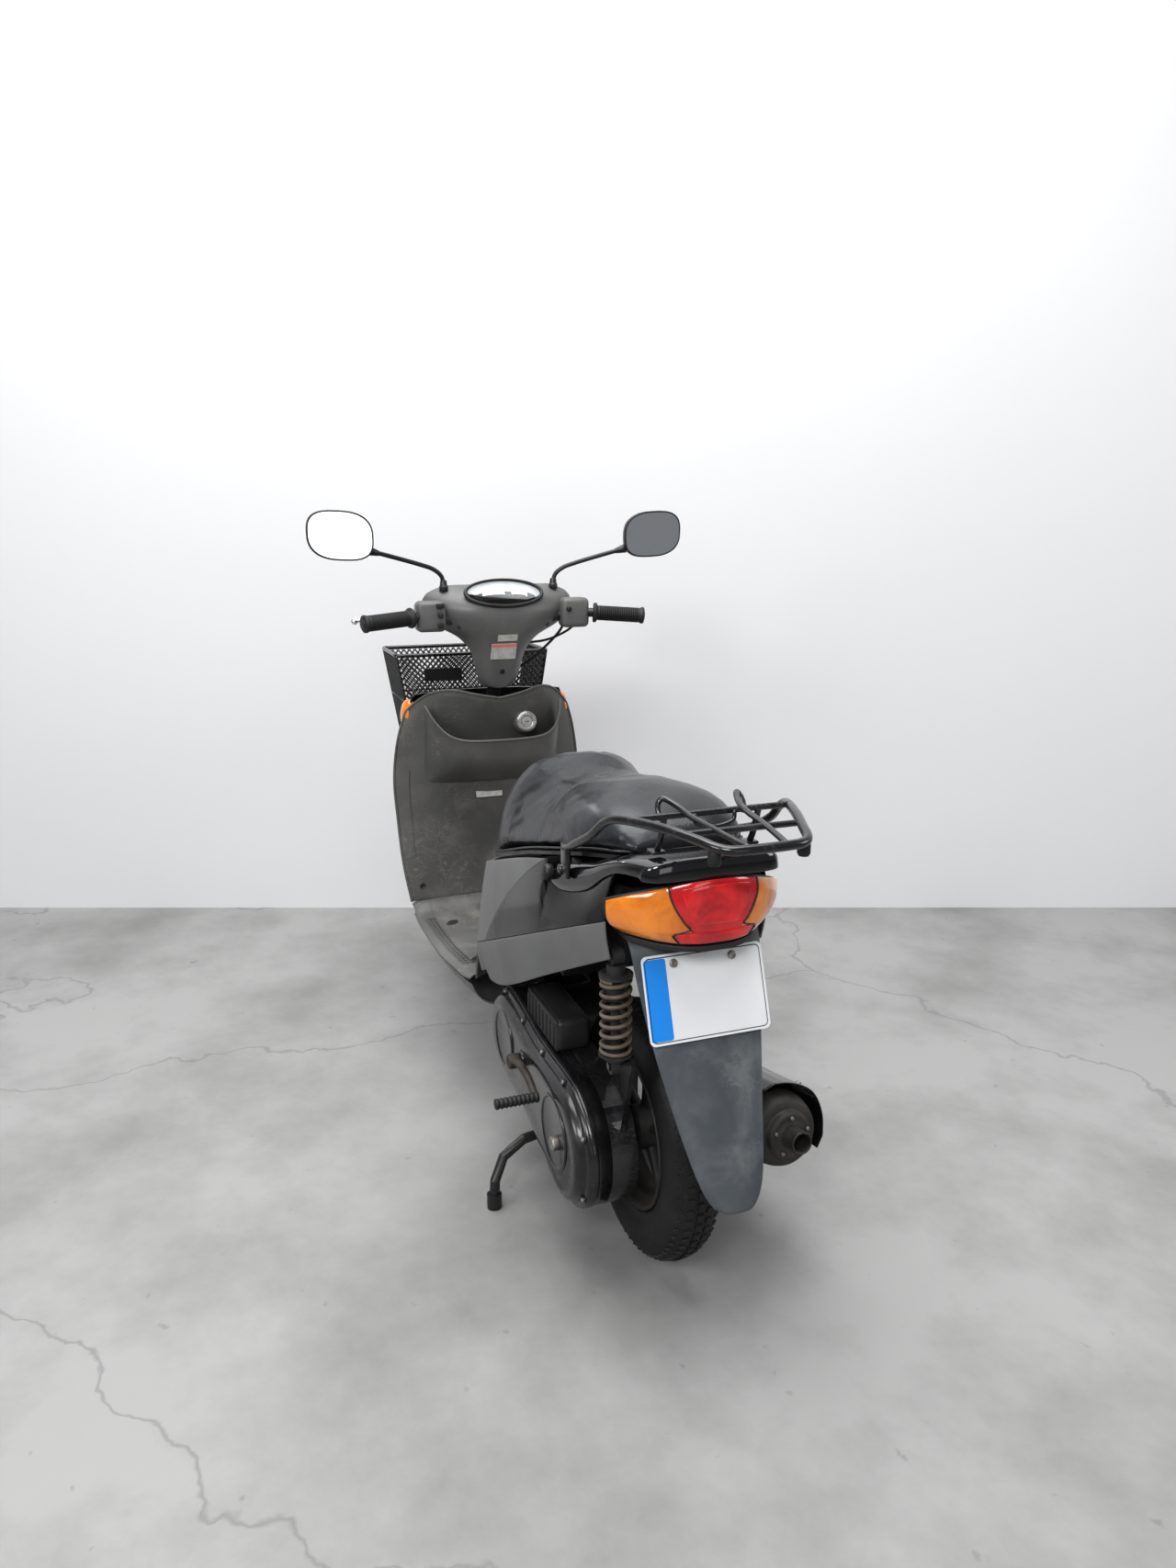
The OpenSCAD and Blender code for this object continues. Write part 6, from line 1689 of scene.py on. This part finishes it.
def addFloorMarks(tree, shader):
    # Fine specks and a few hairline cracks over the mottled base
    place = tree.nodes.new("ShaderNodeTexCoord")
    bend = addNode(tree, "ShaderNodeTexNoise", Scale=2.2, Detail=6.0)
    shift = addNode(tree, "ShaderNodeVectorMath", operation="SCALE")
    shift.inputs["Scale"].default_value = 0.5
    total = addNode(tree, "ShaderNodeVectorMath", operation="ADD")
    cells = addNode(tree, "ShaderNodeTexVoronoi", feature="DISTANCE_TO_EDGE", Scale=0.42)
    thin = tree.nodes.new("ShaderNodeMapRange")
    thin.inputs["From Min"].default_value, thin.inputs["From Max"].default_value = 0.0, 0.0022
    thin.inputs["To Min"].default_value, thin.inputs["To Max"].default_value = 0.55, 0.0
    specks = addNode(tree, "ShaderNodeTexNoise", Scale=26.0, Detail=3.0)
    dots = tree.nodes.new("ShaderNodeMapRange")
    dots.inputs["From Min"].default_value, dots.inputs["From Max"].default_value = 0.70, 0.76
    dots.inputs["To Max"].default_value = 0.45
    most = addNode(tree, "ShaderNodeMath", operation="MAXIMUM")
    mix = tree.nodes.new("ShaderNodeMix")
    mix.data_type = "RGBA"
    mix.inputs["B"].default_value = (0.16, 0.16, 0.16, 1)
    tree.links.new(place.outputs["Object"], bend.inputs["Vector"])
    tree.links.new(bend.outputs["Color"], shift.inputs[0])
    tree.links.new(place.outputs["Object"], total.inputs[0])
    tree.links.new(shift.outputs["Vector"], total.inputs[1])
    tree.links.new(total.outputs["Vector"], cells.inputs["Vector"])
    tree.links.new(cells.outputs["Distance"], thin.inputs["Value"])
    tree.links.new(place.outputs["Object"], specks.inputs["Vector"])
    tree.links.new(specks.outputs["Fac"], dots.inputs["Value"])
    tree.links.new(thin.outputs["Result"], most.inputs[0])
    tree.links.new(dots.outputs["Result"], most.inputs[1])
    base = shader.inputs["Base Color"].links[0].from_socket
    tree.links.new(most.outputs["Value"], mix.inputs["Factor"])
    tree.links.new(base, mix.inputs["A"])
    tree.links.new(mix.outputs["Result"], shader.inputs["Base Color"])


addFloorMarks(floorTree, floorShader)
wallMat, wallTree, wallShader, wallOut = makeStageFinish("stageWall", (0.62, 0.62, 0.625), 0.9,
                                                         (0.61, 0.61, 0.615), 0.8)
wallShader.inputs["Emission Color"].default_value = (0.9, 0.9, 0.92, 1)
wallShader.inputs["Emission Strength"].default_value = 0.06
clear = wallTree.nodes.new("ShaderNodeBsdfTransparent")
pathNode = wallTree.nodes.new("ShaderNodeLightPath")
geometry = wallTree.nodes.new("ShaderNodeNewGeometry")
either = wallTree.nodes.new("ShaderNodeMath")
either.operation = "MAXIMUM"
wallTree.links.new(pathNode.outputs["Is Shadow Ray"], either.inputs[0])
wallTree.links.new(geometry.outputs["Backfacing"], either.inputs[1])
pick = wallTree.nodes.new("ShaderNodeMixShader")
wallTree.links.new(either.outputs["Value"], pick.inputs["Fac"])
wallTree.links.new(wallShader.outputs["BSDF"], pick.inputs[1])
wallTree.links.new(clear.outputs["BSDF"], pick.inputs[2])
wallTree.links.new(pick.outputs["Shader"], wallOut.inputs["Surface"])


def stagePlane(name, corners, mat):
    mesh = bpy.data.meshes.new(name)
    mesh.from_pydata([tuple(c) for c in corners], [], [(0, 1, 2, 3)])
    mesh.materials.append(mat)
    obj = bpy.data.objects.new(name, mesh)
    scene.collection.objects.link(obj)
    return obj


w, deep = stageSizes["wide"], -9
floor = stagePlane("floor", [foot - aside * w + ahead * deep, foot + aside * w + ahead * deep,
                             foot + aside * w + ahead * 6,
                             foot - aside * w + ahead * 6], floorMat)
wall = stagePlane("wall", [foot - aside * w, foot - aside * w + Vector((0, 0, stageSizes["wallHigh"])),
                           foot + aside * w + Vector((0, 0, stageSizes["wallHigh"])), foot + aside * w], wallMat)
if wall.data.polygons[0].normal.dot(ahead) > 0:
    wall.data.flip_normals()


def areaLight(name, place, target, size, tall, power, colour=(1, 1, 1)):
    light = bpy.data.lights.new(name, "AREA")
    light.shape = "RECTANGLE"
    light.size, light.size_y, light.energy, light.color = size, tall, power, colour
    obj = bpy.data.objects.new(name, light)
    obj.location = place
    obj.rotation_mode = "QUATERNION"
    obj.rotation_quaternion = (Vector(target) - Vector(place)).to_track_quat("-Z", "Y")
    scene.collection.objects.link(obj)
    return obj


lights = [areaLight("topSoft", (-0.2, 0.3, 3.6), (0, 0, 0.4), 3.2, 2.6, 128),
          areaLight("leftSoft", (-1.6, 3.4, 2.2), (-0.1, 0, 0.5), 1.6, 1.0, 40),
          areaLight("rightSoft", (-1.8, -2.8, 1.8), (0, 0, 0.5), 1.4, 1.2, 18),
          areaLight("rearKey", (-3.4, 1.9, 2.9), (-0.4, 0, 0.6), 1.5, 1.0, 62),
          areaLight("backCard", (-6.0, -0.45, 1.2), (0, -0.3, 1.1), 2.2, 1.4, 14)]
world = bpy.data.worlds.new("studioAir")
world.use_nodes = True
world.node_tree.nodes["Background"].inputs["Color"].default_value = (0.92, 0.95, 1.0, 1)
world.node_tree.nodes["Background"].inputs["Strength"].default_value = 0.20
scene.world = world
scene.view_settings.view_transform = "Standard"
scene.view_settings.exposure = 0.36
scene.view_settings.gamma = 0.88
print("stage made")
